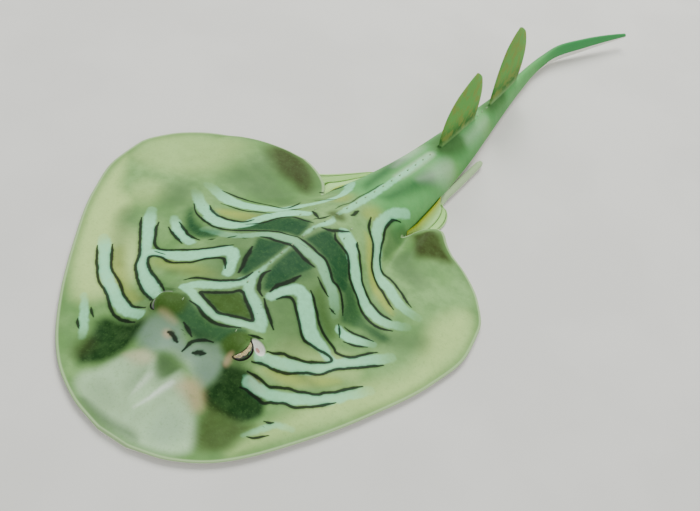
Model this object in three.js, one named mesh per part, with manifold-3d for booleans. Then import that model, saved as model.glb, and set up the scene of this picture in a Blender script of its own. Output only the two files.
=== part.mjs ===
// Eastern fiddler ray lying on the sea bed, life size, in millimetres.
// +Z is up, the head points to -Y, the tail to +Y and the ray's left side is +X.
// Every piece is first made on a straight body axis and then bent sideways by pose().

import * as THREE from "three";
import { mergeVertices } from "three/addons/utils/BufferGeometryUtils.js";
import Module from "manifold-3d";

const wasm = await Module();
wasm.setup();

// ---- Driving dimensions -------------------------------------------------------------

const GAP = 0.3; // clear space between neighbouring pieces
const SNOUT_Y = -200;
const HEAD_END_Y = -48; // cut between head and trunk, behind the spiracles
const INSERTION_Y = 135; // where the pectoral fin leaves the trunk
const LOBE_TIP_Y = 171; // free rear tip of the pectoral fin
const TRUNK_END_Y = 158; // cut between trunk and tail, at the vent
const TAIL_CUTS_Y = [TRUNK_END_Y, 250, 352, 452, 528]; // the tail's four lengths
const TAIL_TIP_Y = 688;

// Half widths, heights and the sideways bend, each as [y, value] along the body axis.
const DISC_HALF_WIDTH = [
  [SNOUT_Y, 14], [-191, 46], [-168, 82], [-122, 120], [-60, 158], [0, 187], [50, 200],
  [85, 198], [116, 183], [140, 160], [156, 135], [166, 112], [LOBE_TIP_Y, 92],
];
const LOBE_INNER_EDGE = [[INSERTION_Y, 46], [150, 53], [161, 63], [168, 73], [LOBE_TIP_Y, 80]];
const BODY_HALF_WIDTH = [
  [SNOUT_Y, 6.5], [-191, 20], [-168, 37], [-122, 55], [-85, 65], [-20, 63], [60, 55],
  [INSERTION_Y, 46], [180, 38], [240, 30.5], [300, 24.5], [350, 18.5], [400, 12.8], [440, 9.4],
  [480, 7.5], [520, 6], [560, 4.8], [630, 3.6], [TAIL_TIP_Y, 2],
];
const BACK_HEIGHT = [
  [SNOUT_Y, 5], [-165, 14], [-128, 29], [-95, 39], [-55, 45], [0, 50], [60, 50],
  [INSERTION_Y, 45], [200, 41], [300, 34.5], [400, 27.5], [500, 21], [560, 17], [TAIL_TIP_Y, 14],
];
const HUMP_HALF_WIDTH = [
  [SNOUT_Y, 20], [-160, 56], [-110, 84], [-40, 100], [30, 98], [90, 74], [INSERTION_Y, 56],
  [TRUNK_END_Y, 50],
];
const SIDE_FOLD_HEIGHT = [[INSERTION_Y, 12], [300, 11], [440, 10], [TAIL_TIP_Y, 9]];
const AXIS_BEND = [
  [SNOUT_Y, 3], [-95, 5], [-30, 12], [40, 20], [110, 33], [180, 45], [250, 54.5], [330, 60.5],
  [420, 65], [510, 67], [560, 75], [620, 102], [TAIL_TIP_Y, 139],
];

const FIN_HOLD = 1.2; // over 1: the fin tips swing a little against the trunk

const RIM_THICKNESS = 2;
const FIN_ROOT_THICKNESS = 20;
const FIN_TAPER = 70; // distance over which a fin thickens from its rim
const RIM_LIFT = 3.5; // the rim curls this far off the floor
const RIM_CURL = 24; // width of the curl
const LOBE_LIFT = 11; // the rear lobes lie above the pelvic fins

const DOME = { x: 36, y: -95, height: 11.5, halfWidth: 15, halfLength: 22 };
const EYE = { x: 40.5, y: -94, z: 32, radius: 10.5, length: 1.15 };
const ROSTRAL_RIDGE = { rearX: 13, rearY: -126, frontX: 4, frontY: -184, height: 3.5, width: 6 };

const DORSAL_FINS = {
  dorsal_fin_front: { baseStart: 256, baseEnd: 340, top: 106, sweep: 45, tipChord: 21, bulge: 10 },
  dorsal_fin_rear: { baseStart: 379, baseEnd: 463, top: 118, sweep: 20, tipChord: 26, bulge: 16 },
};
const DORSAL_THICKNESS = 5;
const DORSAL_LEAN = 0.05; // the blades lean a little to the right
const DORSAL_SUNK = 6; // depth of a blade's foot in the back, before it is cut to fit
const DORSAL_FALL = 12; // drop of the foot from front to rear, as the tail thins
const CAUDAL = {
  start: TAIL_CUTS_Y[4], tip: TAIL_TIP_Y, axisHeight: [11, 17], // axis height, root to tip
  above: [9, 1.5], below: [9.5, 2], // height of the muscle over and under the axis
  upper: 7.5, lower: 3.2, // height of the fin blades at their highest
};
const PELVIC = { front: 140, rear: 222, reach: 76, rootX: 28, rimThickness: 1.8, rootThickness: 6 };
const CLASPER = { startY: 204, endY: 312, x: 29, z: 4.8, radius: 4.8 };

const SKIN_COLOURS = {
  head: 0xb0bca8, trunk: 0x76a070, fin: 0x91af80, tail: 0x86b489, dorsal: 0x86a050,
  pelvic: 0xc9c77c, clasper: 0xd8cdb4, eye: 0x3a2a14,
};

// ---- Smooth curves ------------------------------------------------------------------

/** Monotone cubic curve through a few [position, value] knots, constant past both ends. */
function curve(knots) {
  const slopes = knots.map((knot, i) => {
    if (i === 0 || i === knots.length - 1) return null;
    const before = (knot[1] - knots[i - 1][1]) / (knot[0] - knots[i - 1][0]);
    const after = (knots[i + 1][1] - knot[1]) / (knots[i + 1][0] - knot[0]);
    return before * after <= 0 ? 0 : (2 * before * after) / (before + after);
  });
  const last = knots.length - 1;
  const secant = (i) => (knots[i + 1][1] - knots[i][1]) / (knots[i + 1][0] - knots[i][0]);
  slopes[0] = 1.5 * secant(0) - 0.5 * slopes[1];
  slopes[last] = 1.5 * secant(last - 1) - 0.5 * slopes[last - 1];
  return (at) => {
    if (at <= knots[0][0]) return knots[0][1];
    if (at >= knots[last][0]) return knots[last][1];
    const i = knots.findIndex((knot) => knot[0] > at) - 1;
    const span = knots[i + 1][0] - knots[i][0];
    const t = (at - knots[i][0]) / span;
    const rise = t * t * (3 - 2 * t);
    const bow = span * t * (1 - t) * (slopes[i] * (1 - t) - slopes[i + 1] * t);
    return knots[i][1] * (1 - rise) + knots[i + 1][1] * rise + bow;
  };
}

const discHalfWidth = curve(DISC_HALF_WIDTH);
const lobeInnerEdge = curve(LOBE_INNER_EDGE);
const bodyHalfWidth = curve(BODY_HALF_WIDTH);
const backHeight = curve(BACK_HEIGHT);
const humpHalfWidth = curve(HUMP_HALF_WIDTH);
const sideFoldHeight = curve(SIDE_FOLD_HEIGHT);
const axisBend = curve(AXIS_BEND);

const { lerp, smoothstep } = THREE.MathUtils;
const bell = (distance, width) => Math.exp(-((distance / width) ** 2));

// ---- The body's upper and lower surface ---------------------------------------------

/** Half of the disc's edge, from the snout round to the notch beside the trunk. */
const discEdge = (() => {
  const steps = 90;
  const outer = Array.from({ length: steps + 1 }, (_, i) => {
    const y = lerp(SNOUT_Y, LOBE_TIP_Y, 0.5 - 0.5 * Math.cos((Math.PI * i) / steps));
    return [discHalfWidth(y), y];
  });
  const inner = Array.from({ length: 13 }, (_, i) => {
    const y = lerp(LOBE_TIP_Y, INSERTION_Y, i / 12);
    return [lobeInnerEdge(y), y];
  });
  return [[0, SNOUT_Y], ...outer, ...inner];
})();

/** Distance from a point of the plan to the disc's edge. */
function edgeDistance(x, y) {
  let nearest = Infinity;
  for (let i = 1; i < discEdge.length; i += 1) {
    const [ax, ay] = discEdge[i - 1];
    const [bx, by] = discEdge[i];
    const along = ((Math.abs(x) - ax) * (bx - ax) + (y - ay) * (by - ay)) /
      ((bx - ax) ** 2 + (by - ay) ** 2);
    const t = THREE.MathUtils.clamp(along, 0, 1);
    nearest = Math.min(nearest, Math.hypot(Math.abs(x) - lerp(ax, bx, t), y - lerp(ay, by, t)));
  }
  return nearest;
}

const finThickness = (distance) =>
  RIM_THICKNESS + (FIN_ROOT_THICKNESS - RIM_THICKNESS) * (1 - Math.exp(-distance / FIN_TAPER));

/** Height of the underside of the disc: flat on the floor, curled up at rim and rear lobe. */
function discBottom(x, y) {
  const curl = Math.max(0, 1 - edgeDistance(x, y) / RIM_CURL);
  const lobe = smoothstep(y, 92, 160) * (1 - smoothstep(Math.abs(x), 96, 160));
  return Math.max(RIM_LIFT * curl * curl, LOBE_LIFT * lobe);
}

/** Domes over the eyes and the two ridges that run down the snout. */
function headRelief(x, y) {
  const side = Math.abs(x);
  const dome = DOME.height * bell(side - DOME.x, DOME.halfWidth) * bell(y - DOME.y, DOME.halfLength);
  const { rearX, rearY, frontX, frontY, height, width } = ROSTRAL_RIDGE;
  const along = (y - rearY) / (frontY - rearY);
  const fade = smoothstep(along, -0.2, 0.2) * (1 - smoothstep(along, 0.75, 1.1));
  return dome + height * fade * bell(side - lerp(rearX, frontX, along), width);
}

/** Height of the upper side of the disc. */
function discTop(x, y) {
  const fin = discBottom(x, y) + finThickness(edgeDistance(x, y));
  const underMiddle = finThickness(edgeDistance(0, y)) + discBottom(0, y);
  const hump = Math.max(0, backHeight(y) - underMiddle);
  const across = Math.min(1, Math.abs(x) / humpHalfWidth(y));
  return fin + hump * (1 - across * across) ** 1.5 + headRelief(x, y);
}

/** Upper side of the tail: a rounded back that falls to a skin fold on each side. */
function tailTop(x, y) {
  const across = Math.min(1, Math.abs(x) / bodyHalfWidth(y));
  const fold = sideFoldHeight(y);
  return fold + (backHeight(y) - fold) * (1 - across * across) ** 0.62;
}

/** Underside of the tail: flat in the middle and rising to the fold. */
function tailBottom(x, y) {
  const across = Math.min(1, Math.abs(x) / bodyHalfWidth(y));
  return (sideFoldHeight(y) - RIM_THICKNESS) * smoothstep(across, 0.5, 1.02);
}

const tailShare = (y) => smoothstep(y, 124, 166);
const bodyTop = (x, y) => lerp(discTop(x, y), tailTop(x, y), tailShare(y));
const bodyBottom = (x, y) => tailBottom(x, y) * tailShare(y);

/** Bends the straight animal sideways, while the pectoral fins hold on to the floor. */
function pose(point) {
  const held = FIN_HOLD * smoothstep(Math.abs(point.x), 30, 130) * (1 - smoothstep(point.y, 150, 215));
  return point.setX(point.x + axisBend(point.y) * (1 - held));
}

// ---- Solids from grids --------------------------------------------------------------

/** Indexed geometry from points and triangles, with doubled points merged. */
function geometryOf(points, triangles) {
  const geometry = new THREE.BufferGeometry();
  const positions = points.flatMap((point) => [point.x, point.y, point.z]);
  geometry.setAttribute("position", new THREE.Float32BufferAttribute(positions, 3));
  geometry.setIndex(triangles);
  return mergeVertices(geometry, 1e-4);
}

/** Closed solid between two grids of points, point(u, v, side) with side +1 or -1. */
function shell(columns, rows, point) {
  const points = [];
  const triangles = [];
  const index = (i, j, side) => (side > 0 ? 0 : (columns + 1) * (rows + 1)) + j * (columns + 1) + i;
  for (const side of [1, -1]) {
    for (let j = 0; j <= rows; j += 1) {
      for (let i = 0; i <= columns; i += 1) points.push(point(i / columns, j / rows, side));
    }
  }
  const quad = (a, b, c, d) => triangles.push(a, b, c, a, c, d);
  for (let j = 0; j < rows; j += 1) {
    for (let i = 0; i < columns; i += 1) {
      quad(index(i, j, 1), index(i + 1, j, 1), index(i + 1, j + 1, 1), index(i, j + 1, 1));
      quad(index(i, j + 1, -1), index(i + 1, j + 1, -1), index(i + 1, j, -1), index(i, j, -1));
    }
  }
  for (let i = 0; i < columns; i += 1) {
    quad(index(i, 0, -1), index(i + 1, 0, -1), index(i + 1, 0, 1), index(i, 0, 1));
    quad(index(i + 1, rows, -1), index(i, rows, -1), index(i, rows, 1), index(i + 1, rows, 1));
  }
  for (let j = 0; j < rows; j += 1) {
    quad(index(0, j + 1, -1), index(0, j, -1), index(0, j, 1), index(0, j + 1, 1));
    quad(index(columns, j, -1), index(columns, j + 1, -1), index(columns, j + 1, 1), index(columns, j, 1));
  }
  return geometryOf(points, triangles);
}

/** A manifold-3d solid of a closed geometry. */
function solidOf(geometry) {
  const bare = geometry.clone();
  bare.deleteAttribute("normal");
  bare.deleteAttribute("uv");
  const merged = mergeVertices(bare, 1e-4);
  return new wasm.Manifold(new wasm.Mesh({
    numProp: 3,
    vertProperties: new Float32Array(merged.attributes.position.array),
    triVerts: new Uint32Array(merged.index.array),
  }));
}

/** A geometry of a manifold-3d solid. */
function geometryOfSolid(solid) {
  const mesh = solid.getMesh();
  const geometry = new THREE.BufferGeometry();
  geometry.setAttribute("position", new THREE.BufferAttribute(mesh.vertProperties, 3));
  geometry.setIndex(new THREE.BufferAttribute(mesh.triVerts, 1));
  return geometry;
}

/** Takes other geometries away from one. */
function cut(geometry, ...tools) {
  return geometryOfSolid(tools.reduce((solid, tool) => solid.subtract(solidOf(tool)), solidOf(geometry)));
}

/** The same piece on the other side of the body. */
function mirrored(geometry) {
  const copy = geometry.clone().scale(-1, 1, 1);
  const index = Array.from(copy.index.array);
  for (let i = 0; i < index.length; i += 3) [index[i], index[i + 1]] = [index[i + 1], index[i]];
  copy.setIndex(index);
  return copy;
}

// ---- Pieces of the body -------------------------------------------------------------

/** Stations along the body axis, evenly spaced or eased towards one of their ends. */
function stations(startY, endY, count, ease = (v) => v) {
  return Array.from({ length: count + 1 }, (_, i) => lerp(startY, endY, ease(i / count)));
}

const HEAD_STATIONS = stations(SNOUT_Y, HEAD_END_Y, 15, (v) => v ** 1.5);
const SHOULDER_STATIONS = stations(HEAD_END_Y, INSERTION_Y, 10);
const LOBE_STATIONS = stations(INSERTION_Y, LOBE_TIP_Y, 6, (v) => 1 - (1 - v) ** 1.6);

/** A length of head, trunk or tail; grow widens it all round, to make room for others. */
function bodyLength(stationsY, columns, grow = 0) {
  const rows = stationsY.length - 1;
  return shell(columns, rows, (u, v, side) => {
    const j = Math.round(v * rows);
    const y = stationsY[j] + (j === 0 ? GAP / 2 : 0) - (j === rows ? GAP / 2 : 0);
    const half = bodyHalfWidth(y) - (y <= INSERTION_Y ? GAP / 2 : 0);
    const x = Math.sin((u - 0.5) * Math.PI) * half;
    const z = side > 0 ? bodyTop(x, y) + grow : bodyBottom(x, y) - grow;
    return new THREE.Vector3(x * (1 + grow / half), y, z);
  });
}

function makeHead() {
  return cut(bodyLength(HEAD_STATIONS, 18), makeEye(1, GAP), makeEye(-1, GAP));
}

/** The left pectoral fin, from the snout to the free lobe behind the insertion. */
function makePectoralFin() {
  const rowsY = [...HEAD_STATIONS, ...SHOULDER_STATIONS.slice(1), ...LOBE_STATIONS.slice(1)];
  const rows = rowsY.length - 1;
  return shell(7, rows, (u, v, side) => {
    const y = rowsY[Math.round(v * rows)];
    const inner = y <= INSERTION_Y ? bodyHalfWidth(y) + GAP / 2 : lobeInnerEdge(y) + GAP / 2;
    const x = lerp(inner, discHalfWidth(y), 1 - (1 - u) ** 1.3);
    return new THREE.Vector3(x, y, side > 0 ? discTop(x, y) : discBottom(x, y));
  });
}

/** The left pelvic fin: a thin leaf under the lobe, joined to the side of the tail. */
function makePelvicFin() {
  const leaf = shell(5, 10, (u, v, side) => {
    const y = lerp(PELVIC.front, PELVIC.rear, v);
    const swell = Math.sin(Math.PI * v ** 0.85) ** 0.5;
    const outer = lerp(38, PELVIC.reach, swell * (1 - 0.3 * v));
    const x = lerp(PELVIC.rootX, outer, u);
    const thickness = lerp(PELVIC.rootThickness, PELVIC.rimThickness, smoothstep(x, 40, 56));
    return new THREE.Vector3(x, y, side > 0 ? thickness : 0);
  });
  return cut(leaf, bodyLength(stations(100, 300, 16), 14, GAP), makeClasper(GAP));
}

/** The left clasper: a slim rod that tapers to a blunt end along the tail. */
function makeClasper(grow = 0) {
  const rod = new THREE.CylinderGeometry(1, 1, CLASPER.endY - CLASPER.startY, 8, 7);
  const at = rod.attributes.position;
  for (let i = 0; i < at.count; i += 1) {
    const along = at.getY(i) / (CLASPER.endY - CLASPER.startY) + 0.5;
    const size = CLASPER.radius * (1 - 0.25 * along - 0.35 * smoothstep(along, 0.85, 1)) + grow;
    const z = Math.max(-grow, CLASPER.z + at.getZ(i) * size);
    at.setXYZ(i, CLASPER.x + at.getX(i) * size, lerp(CLASPER.startY, CLASPER.endY, along), z);
  }
  rod.deleteAttribute("normal");
  rod.deleteAttribute("uv");
  return mergeVertices(rod, 1e-4);
}

/** A dorsal fin: a broad blade with a curved front edge, a bulging rear edge and a round tip. */
function makeDorsalFin({ baseStart, baseEnd, top, sweep, tipChord, bulge }) {
  const foot = backHeight(baseStart) - DORSAL_SUNK;
  const blade = shell(8, 12, (u, v, side) => {
    const lead = baseStart + sweep * v ** 4;
    const trail = lerp(baseEnd, baseStart + sweep + tipChord, v) + bulge * Math.sin(Math.PI * v);
    const tip = Math.max(0, v - 0.8) / 0.2;
    const narrow = Math.max(0.25, Math.sqrt(1 - tip ** 2));
    const y = lerp(lead, trail, 0.5 + (u - 0.5) * narrow);
    const z = lerp(foot - DORSAL_FALL * u * (1 - v), top, v);
    const round = Math.sqrt(Math.max(0.05, 1 - (2 * u - 1) ** 2));
    const lean = DORSAL_LEAN * Math.max(0, z - backHeight(y));
    const x = side * DORSAL_THICKNESS * 0.5 * round * lerp(1, 0.35, v) - lean;
    return new THREE.Vector3(x, y, z);
  });
  return cut(blade, bodyLength(stations(baseStart - 40, baseEnd + 40, 16), 14, GAP));
}

/** The caudal fin: a long low blade round the end of the body axis, without a lower lobe. */
function makeCaudalFin() {
  return shell(14, 6, (u, v, side) => {
    const y = lerp(CAUDAL.start + GAP / 2, CAUDAL.tip, u);
    const swell = Math.sin(Math.PI * lerp(0.12, 0.94, u)) ** 0.8;
    const axis = lerp(...CAUDAL.axisHeight, u);
    const low = axis - lerp(...CAUDAL.below, u) - CAUDAL.lower * swell * smoothstep(u, 0, 0.3);
    const high = axis + lerp(...CAUDAL.above, u) + CAUDAL.upper * swell * smoothstep(u, 0, 0.35);
    const across = (2 * v - 1) ** 2;
    const x = side * (0.6 + bodyHalfWidth(y) * Math.max(0, 1 - across) ** 0.6);
    return new THREE.Vector3(x, y, Math.max(0, lerp(low, high, v)));
  });
}

/** An eyeball; grow widens it to cut its socket. */
function makeEye(side, grow = 0) {
  const ball = new THREE.SphereGeometry(EYE.radius + grow, 14, 9);
  ball.scale(1, EYE.length, 0.95).translate(side * EYE.x, EYE.y, EYE.z);
  return ball;
}

// ---- The animal ---------------------------------------------------------------------

const animal = new THREE.Group();

/** Bends a geometry into the pose and adds it as a named piece. */
function addPiece(name, geometry, colour, roughness = 0.55) {
  const posed = geometry.clone();
  const at = posed.attributes.position;
  const point = new THREE.Vector3();
  for (let i = 0; i < at.count; i += 1) {
    pose(point.fromBufferAttribute(at, i));
    at.setXYZ(i, point.x, point.y, point.z);
  }
  posed.computeVertexNormals();
  const material = new THREE.MeshStandardMaterial({ color: colour, roughness, metalness: 0 });
  const mesh = new THREE.Mesh(posed, material);
  mesh.name = name;
  animal.add(mesh);
}

/** Adds a left piece and its mirror image. */
function addPair(name, geometry, colour, roughness) {
  addPiece(`${name}_left`, geometry, colour, roughness);
  addPiece(`${name}_right`, mirrored(geometry), colour, roughness);
}

addPiece("head", makeHead(), SKIN_COLOURS.head);
const trunkStations = [...SHOULDER_STATIONS, ...stations(INSERTION_Y, TRUNK_END_Y, 3).slice(1)];
addPiece("trunk", bodyLength(trunkStations, 14), SKIN_COLOURS.trunk);
addPair("pectoral_fin", makePectoralFin(), SKIN_COLOURS.fin);
["tail_base", "tail_middle", "tail_rear", "tail_end"].forEach((name, i) => {
  const lengthStations = stations(TAIL_CUTS_Y[i], TAIL_CUTS_Y[i + 1], 5);
  addPiece(name, bodyLength(lengthStations, 12), SKIN_COLOURS.tail);
});
addPair("pelvic_fin", makePelvicFin(), SKIN_COLOURS.pelvic);
const roomForTail = bodyLength(stations(180, 340, 16), 14, GAP);
addPair("clasper", cut(makeClasper(), roomForTail), SKIN_COLOURS.clasper);
for (const [name, sizes] of Object.entries(DORSAL_FINS)) {
  addPiece(name, makeDorsalFin(sizes), SKIN_COLOURS.dorsal);
}
addPiece("caudal_fin", makeCaudalFin(), SKIN_COLOURS.dorsal);
addPair("eye", makeEye(1), SKIN_COLOURS.eye, 0.1);

// The origin is the middle of the box's underside.
const box = new THREE.Box3().setFromObject(animal);
const middle = box.getCenter(new THREE.Vector3());
animal.position.set(-middle.x, -middle.y, -box.min.z);

export default animal;
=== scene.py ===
"""Life-size eastern fiddler ray: one skin with its markings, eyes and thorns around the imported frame."""

import logging
import math
from dataclasses import dataclass, field
from enum import Enum
from typing import Callable, Iterable

import bmesh
import bpy
import numpy as np
from bmesh.types import BMesh, BMFace, BMVert
from mathutils import Matrix, Vector


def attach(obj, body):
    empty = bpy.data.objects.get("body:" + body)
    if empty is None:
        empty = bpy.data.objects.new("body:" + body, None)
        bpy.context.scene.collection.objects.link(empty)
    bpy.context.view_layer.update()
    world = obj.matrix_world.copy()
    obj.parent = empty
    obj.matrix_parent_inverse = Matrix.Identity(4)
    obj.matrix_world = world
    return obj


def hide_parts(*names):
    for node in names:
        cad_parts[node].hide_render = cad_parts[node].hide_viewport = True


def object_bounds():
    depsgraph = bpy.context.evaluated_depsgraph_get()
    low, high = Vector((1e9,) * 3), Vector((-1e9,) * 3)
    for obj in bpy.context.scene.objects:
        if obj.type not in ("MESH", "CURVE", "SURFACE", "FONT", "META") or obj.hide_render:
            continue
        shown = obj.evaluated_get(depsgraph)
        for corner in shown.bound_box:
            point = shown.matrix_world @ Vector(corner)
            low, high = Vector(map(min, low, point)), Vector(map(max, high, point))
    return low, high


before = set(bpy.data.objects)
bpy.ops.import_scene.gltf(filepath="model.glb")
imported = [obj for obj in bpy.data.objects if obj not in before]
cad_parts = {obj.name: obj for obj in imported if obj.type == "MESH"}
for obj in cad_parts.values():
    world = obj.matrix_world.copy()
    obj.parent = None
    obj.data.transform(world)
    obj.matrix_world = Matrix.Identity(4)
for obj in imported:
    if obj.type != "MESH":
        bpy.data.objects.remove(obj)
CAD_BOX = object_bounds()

LOG = logging.getLogger("fiddler_ray")
MM = 0.001  # the body's plan is in millimetres and the scene in metres
TINY = 1e-9  # keeps a division from failing
FAR = 1e3  # millimetres, farther than any two places of the body
Knots = tuple[tuple[float, float], ...]
Colour = tuple[float, float, float]
Range = tuple[float, float]
Array = np.ndarray
Socket = bpy.types.NodeSocket


# ---- Small maths --------------------------


def smoothstep(value: Array, low: float, high: float) -> Array:
    """Share from 0 at low to 1 at high, eased at both ends.

    Args:
        value: Numbers to ease.
        low: Where the share is 0.
        high: Where the share is 1.

    Returns:
        The shares.
    """
    share = np.clip((np.asarray(value, float) - low) / (high - low), 0.0, 1.0)
    return share * share * (3.0 - 2.0 * share)


def lerp(start: Array, end: Array, share: Array) -> Array:
    """Straight blend from start to end."""
    return start + (end - start) * share


def bell(distance: Array, width: float) -> Array:
    """Rounded hill of height 1 and the given width."""
    return np.exp(-((distance / width) ** 2))


def along_step(x: Array, y: Array, start: Array, end: Array) -> tuple[Array, Array]:
    """How far along a straight step the nearest spot to each place is, and how far away.

    Args:
        x: Sideways places.
        y: Places along the axis.
        start: Start of the step.
        end: End of the step.

    Returns:
        Shares of the step from 0 to 1, and distances from it.
    """
    step = end[:2] - start[:2]
    run = max(float(step @ step), TINY)
    t = np.clip(((x - start[0]) * step[0] + (y - start[1]) * step[1]) / run, 0, 1)
    return t, np.hypot(x - start[0] - t * step[0], y - start[1] - t * step[1])


def in_box(x: Array, y: Array, points: Array, margin: float) -> Array:
    """Indices of the places in the box round some points.

    Args:
        x: Sideways places.
        y: Places along the axis.
        points: Points, one a row.
        margin: Width added on each side of the box.

    Returns:
        The indices.
    """
    low, high = points.min(0) - margin, points.max(0) + margin
    return np.flatnonzero((x > low[0]) & (x < high[0]) & (y > low[1]) & (y < high[1]))


def srgb(code: int) -> Colour:
    """Linear colour of a hexadecimal display colour.

    Args:
        code: Colour such as 0x88AA66.

    Returns:
        Its red, green and blue in linear light.
    """
    parts = [((code >> shift) & 255) / 255.0 for shift in (16, 8, 0)]
    return tuple(part / 12.92 if part <= 0.04045 else ((part + 0.055) / 1.055) ** 2.4 for part in parts)


@dataclass(frozen=True)
class Profile:
    """Monotone cubic curve through a few knots, constant past both ends."""

    knots: Knots

    def at(self, place: Array) -> Array:
        """Value of the curve at each place.

        Args:
            place: Positions along the curve's axis.

        Returns:
            The values there.
        """
        spots, values = np.array(self.knots, float).T
        secant = np.diff(values) / np.diff(spots)
        slope = np.zeros(len(spots))
        before, after = secant[:-1], secant[1:]
        rising = before * after > 0
        slope[1:-1][rising] = (2 * before * after)[rising] / (before + after)[rising]
        slope[0] = 1.5 * secant[0] - 0.5 * slope[1]
        slope[-1] = 1.5 * secant[-1] - 0.5 * slope[-2]
        place = np.clip(np.asarray(place, float), spots[0], spots[-1])
        i = np.clip(np.searchsorted(spots, place, side="right") - 1, 0, len(spots) - 2)
        span = spots[i + 1] - spots[i]
        t = (place - spots[i]) / span
        rise = t * t * (3 - 2 * t)
        bow = span * t * (1 - t) * (slope[i] * (1 - t) - slope[i + 1] * t)
        return values[i] * (1 - rise) + values[i + 1] * rise + bow


# ---- The body's form ----------------------


@dataclass(frozen=True)
class Eyeball:
    """Place and size of the left eye in the straight body."""

    centre: tuple[float, float, float] = (37.5, -92.0, 34.0)
    radii: tuple[float, float, float] = (10.5, 12.1, 10.0)


@dataclass(frozen=True)
class BodyForm:
    """Plan, heights and sideways bend of the body, on a straight axis, in millimetres."""

    snout_y: float = -200.0
    insertion_y: float = 135.0
    lobe_tip_y: float = 171.0
    caudal_y: float = 528.0
    tail_tip_y: float = 688.0
    disc_half_width: Profile = Profile((
        (-200, 14), (-191, 46), (-168, 82), (-122, 120), (-60, 158), (0, 187), (50, 200),
        (85, 198), (116, 183), (140, 160), (156, 135), (166, 112), (171, 92),
    ))
    lobe_inner_edge: Profile = Profile(((135, 46), (150, 53), (161, 63), (168, 73), (171, 80)))
    half_width: Profile = Profile((
        (-200, 6.5), (-191, 20), (-168, 37), (-122, 55), (-85, 65), (-20, 63), (60, 55),
        (135, 46), (180, 38), (240, 30.5), (300, 24.5), (350, 18.5), (400, 12.8), (440, 9.4),
        (480, 7.5), (520, 6), (560, 4.8), (630, 3.6), (688, 2),
    ))
    back_height: Profile = Profile((
        (-200, 5), (-165, 14), (-128, 29), (-95, 39), (-55, 45), (0, 50), (60, 50),
        (135, 45), (200, 41), (300, 34.5), (400, 27.5), (500, 21), (560, 17), (688, 14),
    ))
    hump_half_width: Profile = Profile((
        (-200, 20), (-160, 56), (-110, 84), (-40, 100), (30, 98), (90, 74), (135, 56), (158, 50),
    ))
    side_fold_height: Profile = Profile(((135, 12), (300, 11), (440, 10), (688, 9)))
    axis_bend: Profile = Profile((
        (-200, 3), (-95, 5), (-30, 12), (40, 20), (110, 33), (180, 45), (250, 54.5), (330, 60.5),
        (420, 65), (510, 67), (560, 75), (620, 102), (688, 139),
    ))
    fin_hold: float = 1.2
    rim_thickness: float = 2.0
    root_thickness: float = 20.0
    fin_taper: float = 70.0
    rim_lift: float = 3.5
    rim_curl: float = 24.0
    lobe_lift: float = 11.0
    lobe_lift_y: Range = (92.0, 160.0)
    lobe_lift_x: Range = (96.0, 160.0)
    hump_power: float = 1.5
    tail_power: float = 0.62
    tail_belly_edge: Range = (0.5, 1.02)
    disc_to_tail: Range = (124.0, 166.0)
    fin_hold_x: Range = (30.0, 130.0)
    fin_hold_y: Range = (150.0, 215.0)
    outer_edge_points: int = 91
    inner_edge_points: int = 13

    def disc_edge(self) -> Array:
        """Half of the disc's edge, from the snout round to the notch by the trunk.

        Returns:
            Points, one a row.
        """
        turn = np.linspace(0.0, math.pi, self.outer_edge_points)
        outer_y = lerp(self.snout_y, self.lobe_tip_y, 0.5 - 0.5 * np.cos(turn))
        inner_y = np.linspace(self.lobe_tip_y, self.insertion_y, self.inner_edge_points)
        outer = np.stack([self.disc_half_width.at(outer_y), outer_y], axis=1)
        inner = np.stack([self.lobe_inner_edge.at(inner_y), inner_y], axis=1)
        return np.concatenate([[[0.0, self.snout_y]], outer, inner])

    def edge_distance(self, x: Array, y: Array) -> Array:
        """Distance of each plan point from the disc's edge.

        Args:
            x: Sideways places.
            y: Places along the axis.

        Returns:
            The distances.
        """
        x, y = np.broadcast_arrays(np.abs(x), np.asarray(y, float))
        nearest = np.full(x.shape, np.inf)
        edge = self.disc_edge()
        for start, end in zip(edge[:-1], edge[1:]):
            nearest = np.minimum(nearest, along_step(x, y, start, end)[1])
        return nearest

    def fin_thickness(self, distance: Array) -> Array:
        """Thickness of a pectoral fin at a distance from its rim."""
        thickened = 1 - np.exp(-distance / self.fin_taper)
        return self.rim_thickness + (self.root_thickness - self.rim_thickness) * thickened

    def disc_bottom(self, x: Array, y: Array, edge: Array) -> Array:
        """Height of the disc's underside, curled up at the rim and under the rear lobe.

        Args:
            x: Sideways places.
            y: Places along the axis.
            edge: Distances from the disc's edge.

        Returns:
            The heights.
        """
        curl = np.maximum(0.0, 1 - edge / self.rim_curl)
        lobe = smoothstep(y, *self.lobe_lift_y) * (1 - smoothstep(np.abs(x), *self.lobe_lift_x))
        return np.maximum(self.rim_lift * curl * curl, self.lobe_lift * lobe)

    def disc_top(self, x: Array, y: Array) -> Array:
        """Height of the disc's upper side, without the head's relief.

        Args:
            x: Sideways places.
            y: Places along the axis.

        Returns:
            The heights.
        """
        edge = self.edge_distance(x, y)
        middle = np.zeros_like(np.asarray(y, float))
        middle_edge = self.edge_distance(middle, y)
        under_middle = self.fin_thickness(middle_edge) + self.disc_bottom(middle, y, middle_edge)
        hump = np.maximum(0.0, self.back_height.at(y) - under_middle)
        across = np.minimum(1.0, np.abs(x) / self.hump_half_width.at(y))
        crown = hump * (1 - across**2) ** self.hump_power
        return self.disc_bottom(x, y, edge) + self.fin_thickness(edge) + crown

    def tail_top(self, x: Array, y: Array) -> Array:
        """Height of the tail's rounded back, which falls to a skin fold on each side.

        Args:
            x: Sideways places.
            y: Places along the axis.

        Returns:
            The heights.
        """
        across = np.minimum(1.0, np.abs(x) / self.half_width.at(y))
        fold = self.side_fold_height.at(y)
        return fold + (self.back_height.at(y) - fold) * (1 - across**2) ** self.tail_power

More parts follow.
